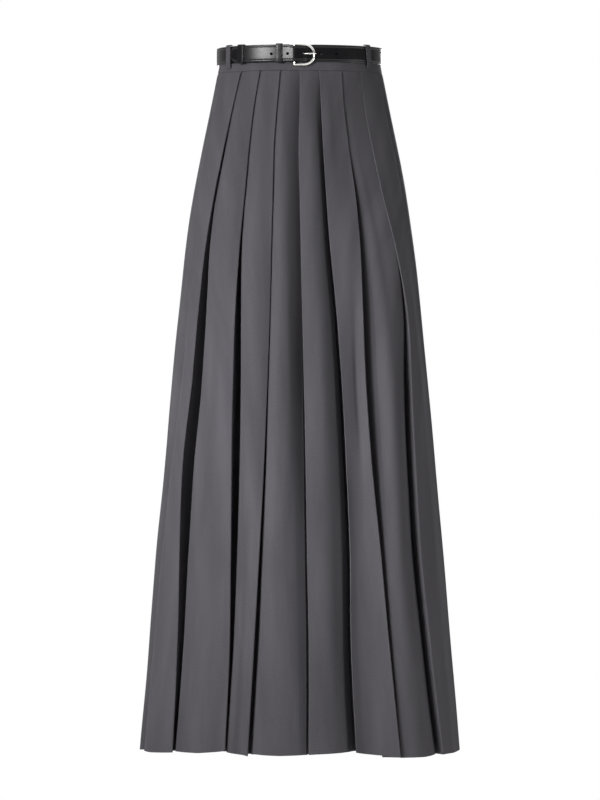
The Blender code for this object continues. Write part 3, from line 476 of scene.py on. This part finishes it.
def pleated_section(half, z):
    """The middle of the cloth at one height, from side seam to side seam, as (x, y) points."""
    panels = half["panels"]
    outline = Outline(half, z)
    r = FOLD_RADIUS
    # Closer together beside the folds.
    even = np.linspace(0, 1, half["panel_steps"] + 2)[1:-1]
    panel_steps = 0.45 * even + 0.55 * (0.5 - 0.5 * np.cos(math.pi * even))
    spots = []
    for row in half["folds"]:
        side = 1 if row["over"] == "left" else -1
        opening = through(OUTLINE_HEIGHTS, row["opening"], z)
        edge = through(OUTLINE_HEIGHTS, row["edge"], z)
        free = through(LEVEL_HEIGHTS, row["free"], z)
        covered = min(through(LEVEL_HEIGHTS, row["covered"], z),
                      free - (OPEN_DROP if opening > OPEN_PLEAT else CLOSED_DROP))
        free_at = outline.find(edge, free)
        gap = outline.across(free_at, opening, side * (covered - free))
        spots.append(dict(side=side, free=free, covered=covered, free_at=free_at,
                          covered_at=free_at + side * gap, tuck=through(TUCK_HEIGHTS, row["tuck"], z),
                          under=min(free - LAYERS_DROP, covered - 0.5,
                                    through(LEVEL_HEIGHTS, row["well"], z))))
    lefts = [(SEAM_GAP / 2, 0.0, False)] + [end_of(spot, on_left=True) for spot in spots]
    rights = [end_of(spot, on_left=False) for spot in spots]
    rights.append((outline.length - SEAM_GAP / 2, 0.0, False))
    ends = list(zip(lefts, rights))

    seam_tuck = float(np.interp(z, SEAM_TUCK_HEIGHTS, SEAM_TUCK))
    edge_spring = float(np.interp(z, EDGE_SPRING_HEIGHTS, (EDGE_SPRING, 0.0)))
    bellies = [[through(LEVEL_HEIGHTS, levels, z) for levels in row["across"]] for row in panels]

    def surface(i, along):
        (start, left, _), (stop, right, right_free) = ends[i]
        spring = edge_spring * math.exp(-max(0.0, stop - along) / EDGE_SPRING_REACH) if right_free else 0.0
        levels = [left] + bellies[i] + [right]
        return through(PANEL_STATIONS, levels, (start - along) / (stop - start)) + spring

    # The front's seam allowance turns in behind the back's edge, but for the zip's length on the left.
    lapped = half["facing"] > 0
    zip_lap = np.interp(z, ZIP_LAP_HEIGHTS, (SEAM_LAP, ZIP_LAP))
    zip_level = np.interp(z, ZIP_LAP_HEIGHTS, (SEAM_LAP_LEVEL, ZIP_LAP_LEVEL))
    path = [(-zip_lap, zip_level), (-0.1, zip_level + 0.05)] if lapped else []
    for i in range(len(panels)):
        (start, _, left_free), (stop, _, right_free) = ends[i]
        first = start + (r if left_free else SEAM_TURN if lapped and i == 0 else 0.0)
        last = stop - (r if right_free else SEAM_TURN if lapped and i == len(panels) - 1 else 0.0)
        if i == 0:
            path.append((first, surface(i, first)))
        for t in panel_steps:
            at = first + (last - first) * t
            path.append((at, surface(i, at)))
        if i == len(panels) - 1:
            path.append((last, surface(i, last)))
            if lapped:
                path += [(stop + 0.25, SEAM_LAP_LEVEL + 0.05), (stop + SEAM_LAP, SEAM_LAP_LEVEL)]
            continue
        spot = spots[i]
        cover = i if spot["side"] > 0 else i + 1
        bend = fold_path(spot, lambda along: surface(cover, along))
        path.extend(bend if spot["side"] > 0 else reversed(bend))
    along, level = np.array(path).T
    x, y = outline.beside(along, level - WALL / 2 - seam_tuck + ripple(along, z))
    return np.column_stack((x, y))


def ripple(along, z):
    """Faint unevenness that worn suiting keeps after pressing, in millimetres."""
    fade = min(1.0, max(0.0, CLOTH_TOP - z) / 120)
    return fade * (0.30 * np.sin(along / 17 + z / 61 + 1.0) + 0.26 * np.sin(along / 29 - z / 43 + 2.2)
                   + 0.16 * np.sin(along / 11 + z / 23))


def hem_rises(half):
    """How much higher than the plain hem line each column of a section hangs."""
    fold_columns = 2 * len(TURN_ANGLES) + 2 * len(UNDER_STEPS) + len(RISE_STEPS) + 2
    edge_columns = 3 if half["facing"] > 0 else 1
    rises = [half["panels"][0]["hem"][0]] * edge_columns
    for i, row in enumerate(half["panels"]):
        left, middle, right = row["hem"]
        at = np.linspace(0, 1, half["panel_steps"])
        rises += list(np.interp(at, (0, 0.5, 1), (left, middle, right)))
        if i < len(half["panels"]) - 1:
            rises += list(np.linspace(right, half["panels"][i + 1]["hem"][0], fold_columns))
    return np.array(rises + [half["panels"][-1]["hem"][2]] * edge_columns)


def fold_path(spot, cover):
    """One pleat fold, from the cloth on top, round its free edge and its tuck, to the cloth below."""
    r, side = FOLD_RADIUS, spot["side"]
    edge, free, tuck = spot["free_at"], cover(spot["free_at"]), spot["tuck"]
    turns = [(math.cos(turn), math.sin(turn)) for turn in map(math.radians, TURN_ANGLES)]
    path = [(edge + side * r * (across - 1), free + r * (up - 1)) for across, up in turns]
    deepest = min(free - 2 * r, spot["under"] + 2 * r)

    def middle_layer(q):
        straight = free - 2 * r + (deepest - free + 2 * r) * (q - r) / (tuck - r)
        return min(straight, cover(edge - side * q) - 2 * r)

    for t in UNDER_STEPS:
        q = r + (tuck - r) * t
        path.append((edge - side * q, middle_layer(q)))
    inner = middle_layer(tuck)
    path += [(edge - side * (tuck + r * across), inner + r * (up - 1)) for across, up in turns]
    last_along, last_level = path[-1]
    start_along = edge - side * 0.3
    for t in UNDER_STEPS + (1.0,):
        path.append((last_along + (start_along - last_along) * t,
                     last_level + (spot["under"] - last_level) * t))
    opening = abs(spot["covered_at"] - edge)
    for t in RISE_STEPS + (1.0,):
        path.append((edge + side * opening * t,
                     spot["covered"] + (spot["under"] - spot["covered"]) * (1 - t) ** 2.2))
    return path


# ---------------------------------------------------------------- meshes
def shaped_grid(places, open_cells=()):
    """A bmesh grid with its vertices moved to places[row][column], in millimetres, less its open cells."""
    rows, columns = len(places), len(places[0])
    bm = bmesh.new()
    bmesh.ops.create_grid(bm, x_segments=columns - 1, y_segments=rows - 1, size=0.5)
    open_faces = []
    if open_cells:
        for face in bm.faces:
            centre = face.calc_center_median()
            cell = (int((0.5 - centre.y) * (rows - 1)), int((centre.x + 0.5) * (columns - 1)))
            if cell in open_cells:
                open_faces.append(face)
    runs = []
    for row in places:
        steps = [math.dist(a, b) for a, b in zip(row, row[1:])]
        runs.append(running(steps) - sum(steps) / 2)
    drops = running([math.dist(a[columns // 2], b[columns // 2]) for a, b in zip(places, places[1:])])
    at = {}
    for vert in bm.verts:
        column = round((vert.co.x + 0.5) * (columns - 1))
        row = round((0.5 - vert.co.y) * (rows - 1))
        at[vert] = (runs[row][column] * MM, -drops[row] * MM)
        vert.co = [value * MM for value in places[row][column]]
    cloth_map = bm.loops.layers.uv.new("cloth")
    for face in bm.faces:
        for loop in face.loops:
            loop[cloth_map].uv = at[loop.vert]
    bmesh.ops.delete(bm, geom=open_faces, context="FACES")
    return bm


def closed_strip(places, openings=(), open_cells=(), ring=False):
    """A solid strip whose section closes on itself: places[row] goes along it, the rows go round it.

    Each opening is (centre, reach): a hole through the strap, whose face and back are joined there.
    """
    rows = list(places) + [places[0]]
    if ring:
        rows = [list(row) + [row[0]] for row in rows]
    bm = shaped_grid(rows, open_cells)
    bmesh.ops.remove_doubles(bm, verts=bm.verts, dist=1e-7)
    for centre, reach in openings:
        spot = Vector(centre) * MM
        rim = [edge for edge in bm.edges if edge.is_boundary
               and ((edge.verts[0].co + edge.verts[1].co) / 2 - spot).length < reach * MM]
        bmesh.ops.bridge_loops(bm, edges=rim)
    bmesh.ops.holes_fill(bm, edges=[edge for edge in bm.edges if edge.is_boundary], sides=0)
    bmesh.ops.recalc_face_normals(bm, faces=bm.faces)
    return bm


def add_object(name, data):
    """A new object in the scene."""
    obj = bpy.data.objects.new(name, data)
    bpy.context.scene.collection.objects.link(obj)
    return obj


def finish_piece(name, bm, material, wall=0.0, sharp=40.0):
    """Turn a bmesh into a finished piece: its wall made, smoothly shaded but for its real edges."""
    mesh = bpy.data.meshes.new(name)
    bm.to_mesh(mesh)
    bm.free()
    obj = add_object(name, mesh)
    if wall:
        shell = obj.modifiers.new("wall", "SOLIDIFY")
        shell.thickness = wall * MM
        shell.offset = 0.0
        shell.use_even_offset = True
        shell.use_quality_normals = True
        made = bpy.data.meshes.new_from_object(obj.evaluated_get(bpy.context.evaluated_depsgraph_get()))
        obj.modifiers.clear()
        obj.data = made
        bpy.data.meshes.remove(mesh)
        made.name = name
    obj.data.materials.clear()
    obj.data.materials.append(material)
    obj.data.shade_smooth()
    obj.data.set_sharp_from_angle(angle=math.radians(sharp))
    return obj


def pleated_panel(name, half, cloth):
    """The pleated front or back, from the waist seam to the hem."""
    rises = hem_rises(half)
    places = []
    for z in CLOTH_HEIGHTS:
        near_hem = min(1.0, max(0.0, (HEM_WAVES_FROM - z) / (HEM_WAVES_FROM - HEM)))
        places.append([(x, half["facing"] * y, z + rise * near_hem ** 2)
                       for (x, y), rise in zip(pleated_section(half, z), rises)])
    return finish_piece(name, shaped_grid(places), cloth, WALL)


class Round(Oval):
    """A plain oval round the waist, measured from the middle of the front, to the right and out."""

    def __init__(self, wide, front, back):
        # Far enough round for the strap's free end, which lies one turn past its start.
        angle = np.radians(np.linspace(-560.0, 200.0, 6081))
        super().__init__(angle, wide, np.where(np.cos(angle) > 0, front, back), 0.0)
        self.length = self.at(180.0) - self.at(-180.0)

    def place(self, along, out, z):
        return *self.beside(along, out), z


def arc(x, y, radius, start, stop, step):
    """Points on a circle round (x, y), between two angles in degrees."""
    return [(x + radius * math.cos(math.radians(a)), y + radius * math.sin(math.radians(a)))
            for a in range(start, stop + 1, step)]


def eased(points, step):
    """A route through points, eased round its corners and cut into steps."""
    points = np.array(points, float)
    run = running(np.linalg.norm(np.diff(points, axis=0), axis=1))
    even = np.linspace(0, run[-1], max(2, round(run[-1] / step)) + 1)
    heights, tables = list(-run), points.T.tolist()
    return [tuple(through(heights, table, -at) for table in tables) for at in even]


def edge_ways(route):
    """For each point of an (along, out) route, the way its left side faces."""
    ways = []
    for before, after in zip([route[0]] + list(route), list(route[1:]) + [route[-1]]):
        run, rise = after[0] - before[0], after[1] - before[1]
        ways.append((rise / math.hypot(run, rise), -run / math.hypot(run, rise)))
    return ways


def waistband(name, facing, cloth):
    """The front or back of the waistband, folded over at its upper edge."""
    span = SIDE_SEAM if facing > 0 else 180.0 - SIDE_SEAM
    wall, r = BAND_WALL, BAND_WALL / 2
    face = [(0.0, z) for z in (-38.8, -36, -33, -30.5, -28, -25, -20, -15, -10, -6, BAND_TOP - 1.6)]
    top = arc(-r, BAND_TOP - r, r, 0, 180, 30)
    back = [(-wall, z) for z in (-6, -12, -20, -28, -34, -39.2)]
    foot = [(-wall + 0.3, -39.9), (-r, -40.0), (-0.55, -39.9), (-0.25, -39.6), (-0.06, -39.3)]
    places = []
    for side, z in face + top + back + foot:
        edge = Round(*[np.interp(-z, [-h for h in BAND_HEIGHTS], table)
                       for table in (BAND_WIDE, BAND_FRONT, BAND_BACK)])
        middle = edge.at(0.0 if facing > 0 else -180.0)
        reach = abs(edge.at(span) if facing > 0 else edge.at(-180.0 + span) - middle) - SEAM_GAP / 2
        places.append([edge.place(middle + facing * reach * t, side, z) for t in np.linspace(-1, 1, 141)])
    return finish_piece(name, closed_strip(places), cloth)


def belt_strap(waist, leather, covered):
    """The strap from its loop on the hinge bar, round the waist, to the tip of its free end."""
    free_end = [(along - waist.length, out) for along, out in FREE_END]
    run = np.array(sorted(STRAP_START + STRAP_AT_ZIP + tuple(free_end)))
    r = HOLE / 2
    holes = [(at - waist.length, r) for at in PUNCHED]
    holes.append((sum(PRONG_HOLE) / 2 - waist.length, (PRONG_HOLE[1] - PRONG_HOLE[0]) / 2))
    tip = free_end[-1][0]
    stops = [at for at in np.arange(PRONG_SLOT[0] - 3.0, tip + TIP, -3.0)
             if all(abs(at - centre) > reach + 1.0 for centre, reach in holes)]
    stops += [centre + reach * t for centre, reach in holes for t in (-1, -0.5, 0, 0.5, 1)]
    stops += [along for along, _ in arc(tip, 0.0, TIP, 0, 81, 9)] + [tip]
    stops += [-10.0, PRONG_SLOT[0]]

    def level(at):
        return sum(weight * float(np.interp(at + shift, run[:, 0], run[:, 1]))
                   for shift, weight in ((-1.5, 0.25), (0.0, 0.5), (1.5, 0.25)))

    loop = arc(HINGE_AT, FRAME_LEVEL, LOOP_RADIUS, -90, 90, 15)
    route = list(STRAP_RETURN) + loop + [(at, level(at)) for at in sorted(set(stops), reverse=True)]
    section = STRAP_SECTION + tuple((side, -z) for side, z in STRAP_SECTION[-2:0:-1])
    places, open_cells = [], set()
    ways = edge_ways(route)
    for side, z in section:
        line = []
        for column, (at, out) in enumerate(route):
            near_tip = min(1.0, max(0.0, 1 - (at - tip) / TIP)) if at < tip + TIP else 0.0
            height, along = z * math.sqrt(1 - (0.985 * near_tip) ** 2), at
            if z > r:
                from_middle = at if at > -waist.length / 2 else at + waist.length
                press = float(np.interp(from_middle, *PRESSED))
                height -= press * FRAME_DROP * (z - r) / (BELT_WIDTH / 2 - r)
            for centre, reach in holes:
                off, up = (at - centre) / reach, z / r
                if abs(z) <= r and max(abs(off), abs(up)) < 1.001:
                    size = max(abs(off), abs(up)) / max(1e-9, math.hypot(off, up))
                    along, height = centre + off * size * reach, up * size * r
            height -= HOLE_DROP * max(0.0, 1 - (z / HOLE_DROP_REACH) ** 2)
            line.append(waist.place(along + side * ways[column][0], out + side * ways[column][1],
                                    BELT_MIDDLE + height))
        places.append(line)
    for row, (side, z) in enumerate(section):
        following = section[(row + 1) % len(section)]
        if abs(z) > r or abs(following[1]) > r:
            continue
        for column in range(len(route) - 1):
            middle = (route[column][0] + route[column + 1][0]) / 2
            if any(abs(middle - centre) < reach for centre, reach in holes) \
                    or PRONG_SLOT[0] < middle < PRONG_SLOT[1]:
                open_cells.add((row, column))
    hole_level = BELT_MIDDLE - HOLE_DROP
    openings = [(waist.place(centre, level(centre), hole_level), reach + 1.6) for centre, reach in holes]
    openings.append((waist.place(HINGE_AT, FRAME_LEVEL, hole_level), 7.0))
    strap = finish_piece("strap_leather", closed_strip(places, openings, open_cells), leather, sharp=50.0)
    # Painted shade where the free end covers the strap, seen only through the holes as their dark floors.
    strap.data.materials.append(covered)
    ahead = np.abs(waist.angle) < math.pi / 2
    for face in strap.data.polygons:
        x, y, _ = face.center / MM
        along = float(np.interp(x, waist.x[ahead], waist.along[ahead]))
        between = (level(along) + level(along - waist.length)) / 2
        inside = math.hypot(x / (BELT_ROUND[0] + between), y / (BELT_ROUND[1] + between)) < 1
        if inside and y < 0 and HOLE_SHADE_SPAN[0] < x < HOLE_SHADE_SPAN[1]:
            face.material_index = 1
    return strap


def keeper(name, waist, reach, leather):
    """A band of leather closed round both layers of the strap, creased along both its edges."""
    inside, outside = UNDER_LEVEL - STRAP / 2, OVER_LEVEL + STRAP / 2
    stand = SEAM_GAP + KEEPER_WALL / 2
    rise, corner = BELT_WIDTH / 2 + stand, 0.8
    low, high = inside - stand + corner, outside + stand - corner
    ring = []
    for out, z, start in ((high, rise - corner, 0), (low, rise - corner, 90), (low, corner - rise, 180),
                          (high, corner - rise, 270)):
        ring += [(out, z, math.radians(start + turn)) for turn in (0, 22.5, 45, 67.5, 90)]
        steps = (0.25, 0.5, 0.75) if start in (90, 270) else ()
        end = corner - rise if start == 90 else rise - corner
        ring += [(out, z + (end - z) * t, math.radians(start + 90)) for t in steps]
    half, r = (reach[1] - reach[0]) / 2, KEEPER_WALL / 2
    face = [(half, 0), (half - 0.15, 0.6), (half - 0.5, 0.93), (half - 1.3, 1.0), (half - 1.7, 0.84),
            (half - 2.1, 0.98), (half - 2.8, 1.0)]
    section = face + [(-at, side) for at, side in face[::-1]] + [(0.5 - half, -0.95), (half - 0.5, -0.95)]
    middle = (reach[0] + reach[1]) / 2
    places = []
    for at, side in section:
        size = corner + r * side
        places.append([waist.place(middle + at, out + size * math.cos(turn),
                                   BELT_MIDDLE + z + size * math.sin(turn)) for out, z, turn in ring])
    return finish_piece(name, closed_strip(places, ring=True), leather, sharp=50.0)


def carrier(name, waist, degrees, lean, cloth):
    """A folded cloth loop from the waistband's upper edge, over the belt, down to the seam."""
    route = eased(CARRIER_ROUTE, 1.0)
    ways = edge_ways(route)
    half, r = CARRIER_WIDTH / 2, CARRIER_WALL / 2
    face = [(half, 0), (half - 0.12, 0.6), (half - 0.5, 0.95), (half - 1.2, 1.0), (half - 1.7, 0.78),
            (half - 2.2, 0.98), (0, 1.0)]
    section = face + [(-at, side) for at, side in face[-2::-1]] + [(0.5 - half, -0.95), (half - 0.5, -0.95)]
    middle = waist.at(degrees)
    places = []
    for at, side in section:
        places.append([waist.place(middle + at + lean * z / -BAND_HEIGHT, out - side * r * way[0],
                                   z - side * r * way[1]) for (out, z), way in zip(route, ways)])
    return finish_piece(name, closed_strip(places), cloth, sharp=60.0)


def bar(name, waist, route, metal, closed=False):
    """A round bar along a route of (along, out, height, thickness)."""
    middles = [Vector(waist.place(*point[:3])) for point in route]
    count = len(middles)
    places = [[] for _ in range(16)]
    side = None
    for i, middle in enumerate(middles):
        before = middles[i - 1] if closed or i else middles[0]
        after = middles[(i + 1) % count] if closed or i < count - 1 else middles[-1]
        way = (after - before).normalized()
        side = way.orthogonal() if side is None else side - way * side.dot(way)
        side.normalize()
        up = way.cross(side)
        for k, places_row in enumerate(places):
            turn = math.tau * k / len(places)
            size = route[i][3] / 2
            places_row.append(tuple(middle + size * (side * math.cos(turn) + up * math.sin(turn))))
    return finish_piece(name, closed_strip(places, ring=closed), metal, sharp=60.0)


def buckle_frame(waist, metal):
    """A horseshoe frame whose open side is closed by the thinner hinge bar."""
    bend = FRAME_END - FRAME_RISE
    corner = 1.4
    route = [(along, FRAME_LEVEL, z, FRAME_BAR) for along, z in arc(bend, 0.0, FRAME_RISE, -90, 90, 5)]
    for side in (1, -1):
        arm = [(bend + (HINGE_AT + corner - bend) * t, FRAME_LEVEL, FRAME_RISE * side, FRAME_BAR)
               for t in (0.33, 0.67)]
        turn = arc(HINGE_AT + corner, FRAME_RISE - corner, corner, 90, 180, 18)
        thinner = np.linspace(FRAME_BAR, HINGE_BAR, len(turn)).tolist()
        arm += [(along, FRAME_LEVEL, side * z, thick) for (along, z), thick in zip(turn, thinner)]
        arm += [(HINGE_AT, FRAME_LEVEL, side * (FRAME_RISE - corner) * t, HINGE_BAR) for t in (0.67, 0.33)]
        if side < 0:
            arm = [(HINGE_AT, FRAME_LEVEL, 0.0, HINGE_BAR)] + arm[::-1]
        route += arm
    middle = BELT_MIDDLE - FRAME_DROP
    route = [(along, out, middle + z, thick) for along, out, z, thick in route]
    return bar("frame_steel", waist, route, metal, closed=True)


def buckle_prong(waist, metal):
    """The prong, bent round the hinge bar and thinned to a blunt tip on the frame."""
    route = eased(PRONG_ROUTE, 0.8)
    last = len(route) - 1
    thick = [PRONG * min(1.0, 0.45 + 0.22 * (last - i)) for i in range(last + 1)]
    route = [(along, out, BELT_MIDDLE - HOLE_DROP, size) for (along, out), size in zip(route, thick)]
    return bar("prong_steel", waist, route, metal)


def zip_tape(cloth):
    """The concealed zip's closed tape behind the left side seam, thicker where its coil runs."""
    widths = np.linspace(-0.5, 0.5, 13)
    face = [(t, 1.0 + 0.8 * math.exp(-(t / 0.09) ** 2)) for t in widths]
    section = face + [(t, -1.0) for t in widths[::-1]]
    heights = list(np.linspace(-3.6, -42.0, 11)) + list(np.linspace(-50.0, -2.0 - ZIP_LENGTH, 22))
    ovals = []
    for z in heights:
        sizes = [through(OUTLINE_HEIGHTS, table, max(HEM, min(-40.0, z))) - ZIP_INSET
                 for table in (HALF_WIDTH, FRONT_DEPTH, BACK_DEPTH)]
        if z > -BAND_HEIGHT:
            sizes = [table[0] - ZIP_INSET - ZIP_BEHIND_BAND for table in (BAND_WIDE, BAND_FRONT, BAND_BACK)]
        ovals.append(Round(*sizes))
    places = [[oval.place(oval.at(-SIDE_SEAM) + ZIP_WIDTH * t, -side * ZIP_WALL / 2, z)
               for oval, z in zip(ovals, heights)] for t, side in section]
    return finish_piece("zip_tape_woven", closed_strip(places), cloth)


def zip_slider(waist, metal):
    """The zip's slider with its small drop-shaped tab, flat under the belt."""
    seam = waist.at(-SIDE_SEAM)
    low, high = TAB_LEVELS
    middle, r = (low + high) / 2, (high - low) / 2
    outline = eased(((TAB_TOP, 2.2), (TAB_TOP - 1.5, 2.6), (TAB_TOP - 6.5, 2.6), (TAB_TOP - 8.2, 1.4),
                     (TAB_TOP - 10, 1.4), (TAB_FOOT + 5, 2.2), (TAB_FOOT + 1.5, 1.9), (TAB_FOOT, 1.0)), 0.7)
    section = [(r * math.cos(math.radians(a)), math.sin(math.radians(a))) for a in range(0, 360, 30)]
    places = [[waist.place(seam + half * across, middle + side, z) for z, half in outline]
              for side, across in section]
    return finish_piece("zip_slider_metal", closed_strip(places), metal, sharp=60.0)


# ---------------------------------------------------------------- the skirt
def put_on(piece, node):
    """Let a finished piece stand for its CAD node and move with the skirt."""
    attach(piece, "root")
    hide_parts(node)
    return piece


suiting = suiting_cloth()
leather = belt_leather()
steel = buckle_steel()
weave = zip_weave()
waist = Round(*BELT_ROUND)

front = put_on(pleated_panel("front_cloth", FRONT, suiting), "front")
back = put_on(pleated_panel("back_cloth", BACK, suiting), "back")
for name, facing in (("front", 1), ("back", -1)):
    band = waistband("band_" + name, facing, suiting)
    put_on(band, "waistband_" + name)
for name, (degrees, lean) in CARRIERS.items():
    loop = carrier(name.replace("carrier", "loop"), waist, degrees, lean, suiting)
    put_on(loop, name)
# The second leather is painted shade for the floors of the strap's holes.
put_on(belt_strap(waist, leather, hole_shade_leather()), "belt_strap")
for name, reach in KEEPERS.items():
    put_on(keeper(name + "_leather", waist, reach, leather), name)
put_on(buckle_frame(waist, steel), "buckle_frame")
put_on(buckle_prong(waist, steel), "buckle_prong")
tape = put_on(zip_tape(weave), "zip_tape")
put_on(zip_slider(waist, steel), "zip_slider")


# ---------------------------------------------------------------- floor, light and camera
def area_light(name, place, target, size, power, spread=180.0):
    """A soft rectangular light, aimed at its target."""
    lamp = bpy.data.lights.new(name, "AREA")
    lamp.shape = "RECTANGLE"
    lamp.size, lamp.size_y = size
    lamp.energy = power
    lamp.spread = math.radians(spread)
    obj = add_object(name, lamp)
    obj.location = place
    obj.rotation_euler = (Vector(target) - Vector(place)).to_track_quat("-Z", "Y").to_euler()


def studio():
    """A white studio: a bright backdrop, a large soft light at the camera's left, and two fills."""
    world = bpy.data.worlds.new("studio")
    bpy.context.scene.world = world
    world.use_nodes = True
    world.node_tree.nodes.clear()
    node = functools.partial(add_node, world.node_tree)
    # Shiny leather and steel see the backdrop brighter behind the skirt, and above and below it.
    way = node("TexCoord").outputs["Generated"]
    parts = node("SeparateXYZ", {"Vector": way})
    behind = node("MapRange", {"Value": parts.outputs["Y"], "From Min": 0.0, "From Max": 0.6, "To Min": 0.12,
                               "To Max": 0.4}, interpolation_type="SMOOTHSTEP")
    height = node("Math", {0: parts.outputs["Z"]}, operation="ABSOLUTE")
    ends = node("MapRange", {"Value": height.outputs[0], "From Min": 0.12, "From Max": 0.5, "To Max": 1.4},
                interpolation_type="SMOOTHSTEP")
    bright = node("Math", {0: behind.outputs[0], 1: ends.outputs[0]}, operation="MAXIMUM")
    seen = node("LightPath")
    light = node("Mix", {"Factor": seen.outputs["Is Glossy Ray"], "A": 0.09, "B": bright.outputs[0]})
    light = node("Mix", {"Factor": seen.outputs["Is Camera Ray"], "A": light.outputs[0], "B": 1.0})
    backdrop = node("Background", {"Color": (1, 1, 1, 1), "Strength": light.outputs[0]})
    node("OutputWorld", {"Surface": backdrop.outputs[0]})
    area_light("key", (-1.62, -2.05, 0.0), (0.075, 0, -0.545), (1.1, 1.2), 5.1, spread=34.0)
    area_light("side_fill", (2.4, -0.9, -0.95), (0, 0, -0.8), (0.9, 1.0), 3.7, spread=90.0)
    area_light("back_fill", (0.7, 2.7, -0.3), (0, 0, -0.5), (1.2, 1.2), 36.0)


def floor():
    """A pale disc below the hem, that fades into the backdrop."""
    made, node = new_material("pale_studio_floor")
    place = node("TexCoord").outputs["Object"]
    reach = node("VectorMath", {0: place}, operation="LENGTH")
    fade = node("MapRange", {"Value": reach.outputs["Value"], "From Min": 0.4, "From Max": 1.1},
                interpolation_type="SMOOTHSTEP")
    # The floor glows for the camera alone, so that it reads as the same white as the backdrop.
    seen = node("LightPath")
    glow = node("Math", {0: seen.outputs["Is Camera Ray"], 1: 0.72}, operation="MULTIPLY")
    shader = node("BsdfPrincipled", {"Base Color": colour("#f4f4f2"), "Roughness": 0.7,
                                     "Emission Color": colour("#ffffff"),
                                     "Emission Strength": glow.outputs[0]})
    clear = node("BsdfTransparent")
    # It is clear from below too, so that the inside of the skirt can be seen from there.
    side = node("NewGeometry")
    fade = node("Math", {0: fade.outputs[0], 1: side.outputs["Backfacing"]}, operation="MAXIMUM")
    mixed = node("MixShader", {"Fac": fade.outputs[0], 1: shader.outputs["BSDF"], 2: clear.outputs["BSDF"]})
    node("OutputMaterial", {"Surface": mixed.outputs[0]})
    bm = bmesh.new()
    bmesh.ops.create_circle(bm, cap_ends=True, segments=96, radius=1.75)
    disc = finish_piece("floor", bm, made)
    disc.location.z = FLOOR
    return disc


floor()
studio()
bpy.context.scene.view_settings.view_transform = "Standard"

lens = bpy.data.cameras.new("camera")
lens.sensor_fit = "HORIZONTAL"
lens.lens = lens.sensor_width * CAMERA_AWAY / FIELD_WIDTH
camera = add_object("camera", lens)
camera.location = (0.0, -CAMERA_AWAY, CAMERA_HEIGHT)
camera.rotation_euler = (math.pi / 2, 0.0, 0.0)
bpy.context.scene.camera = camera
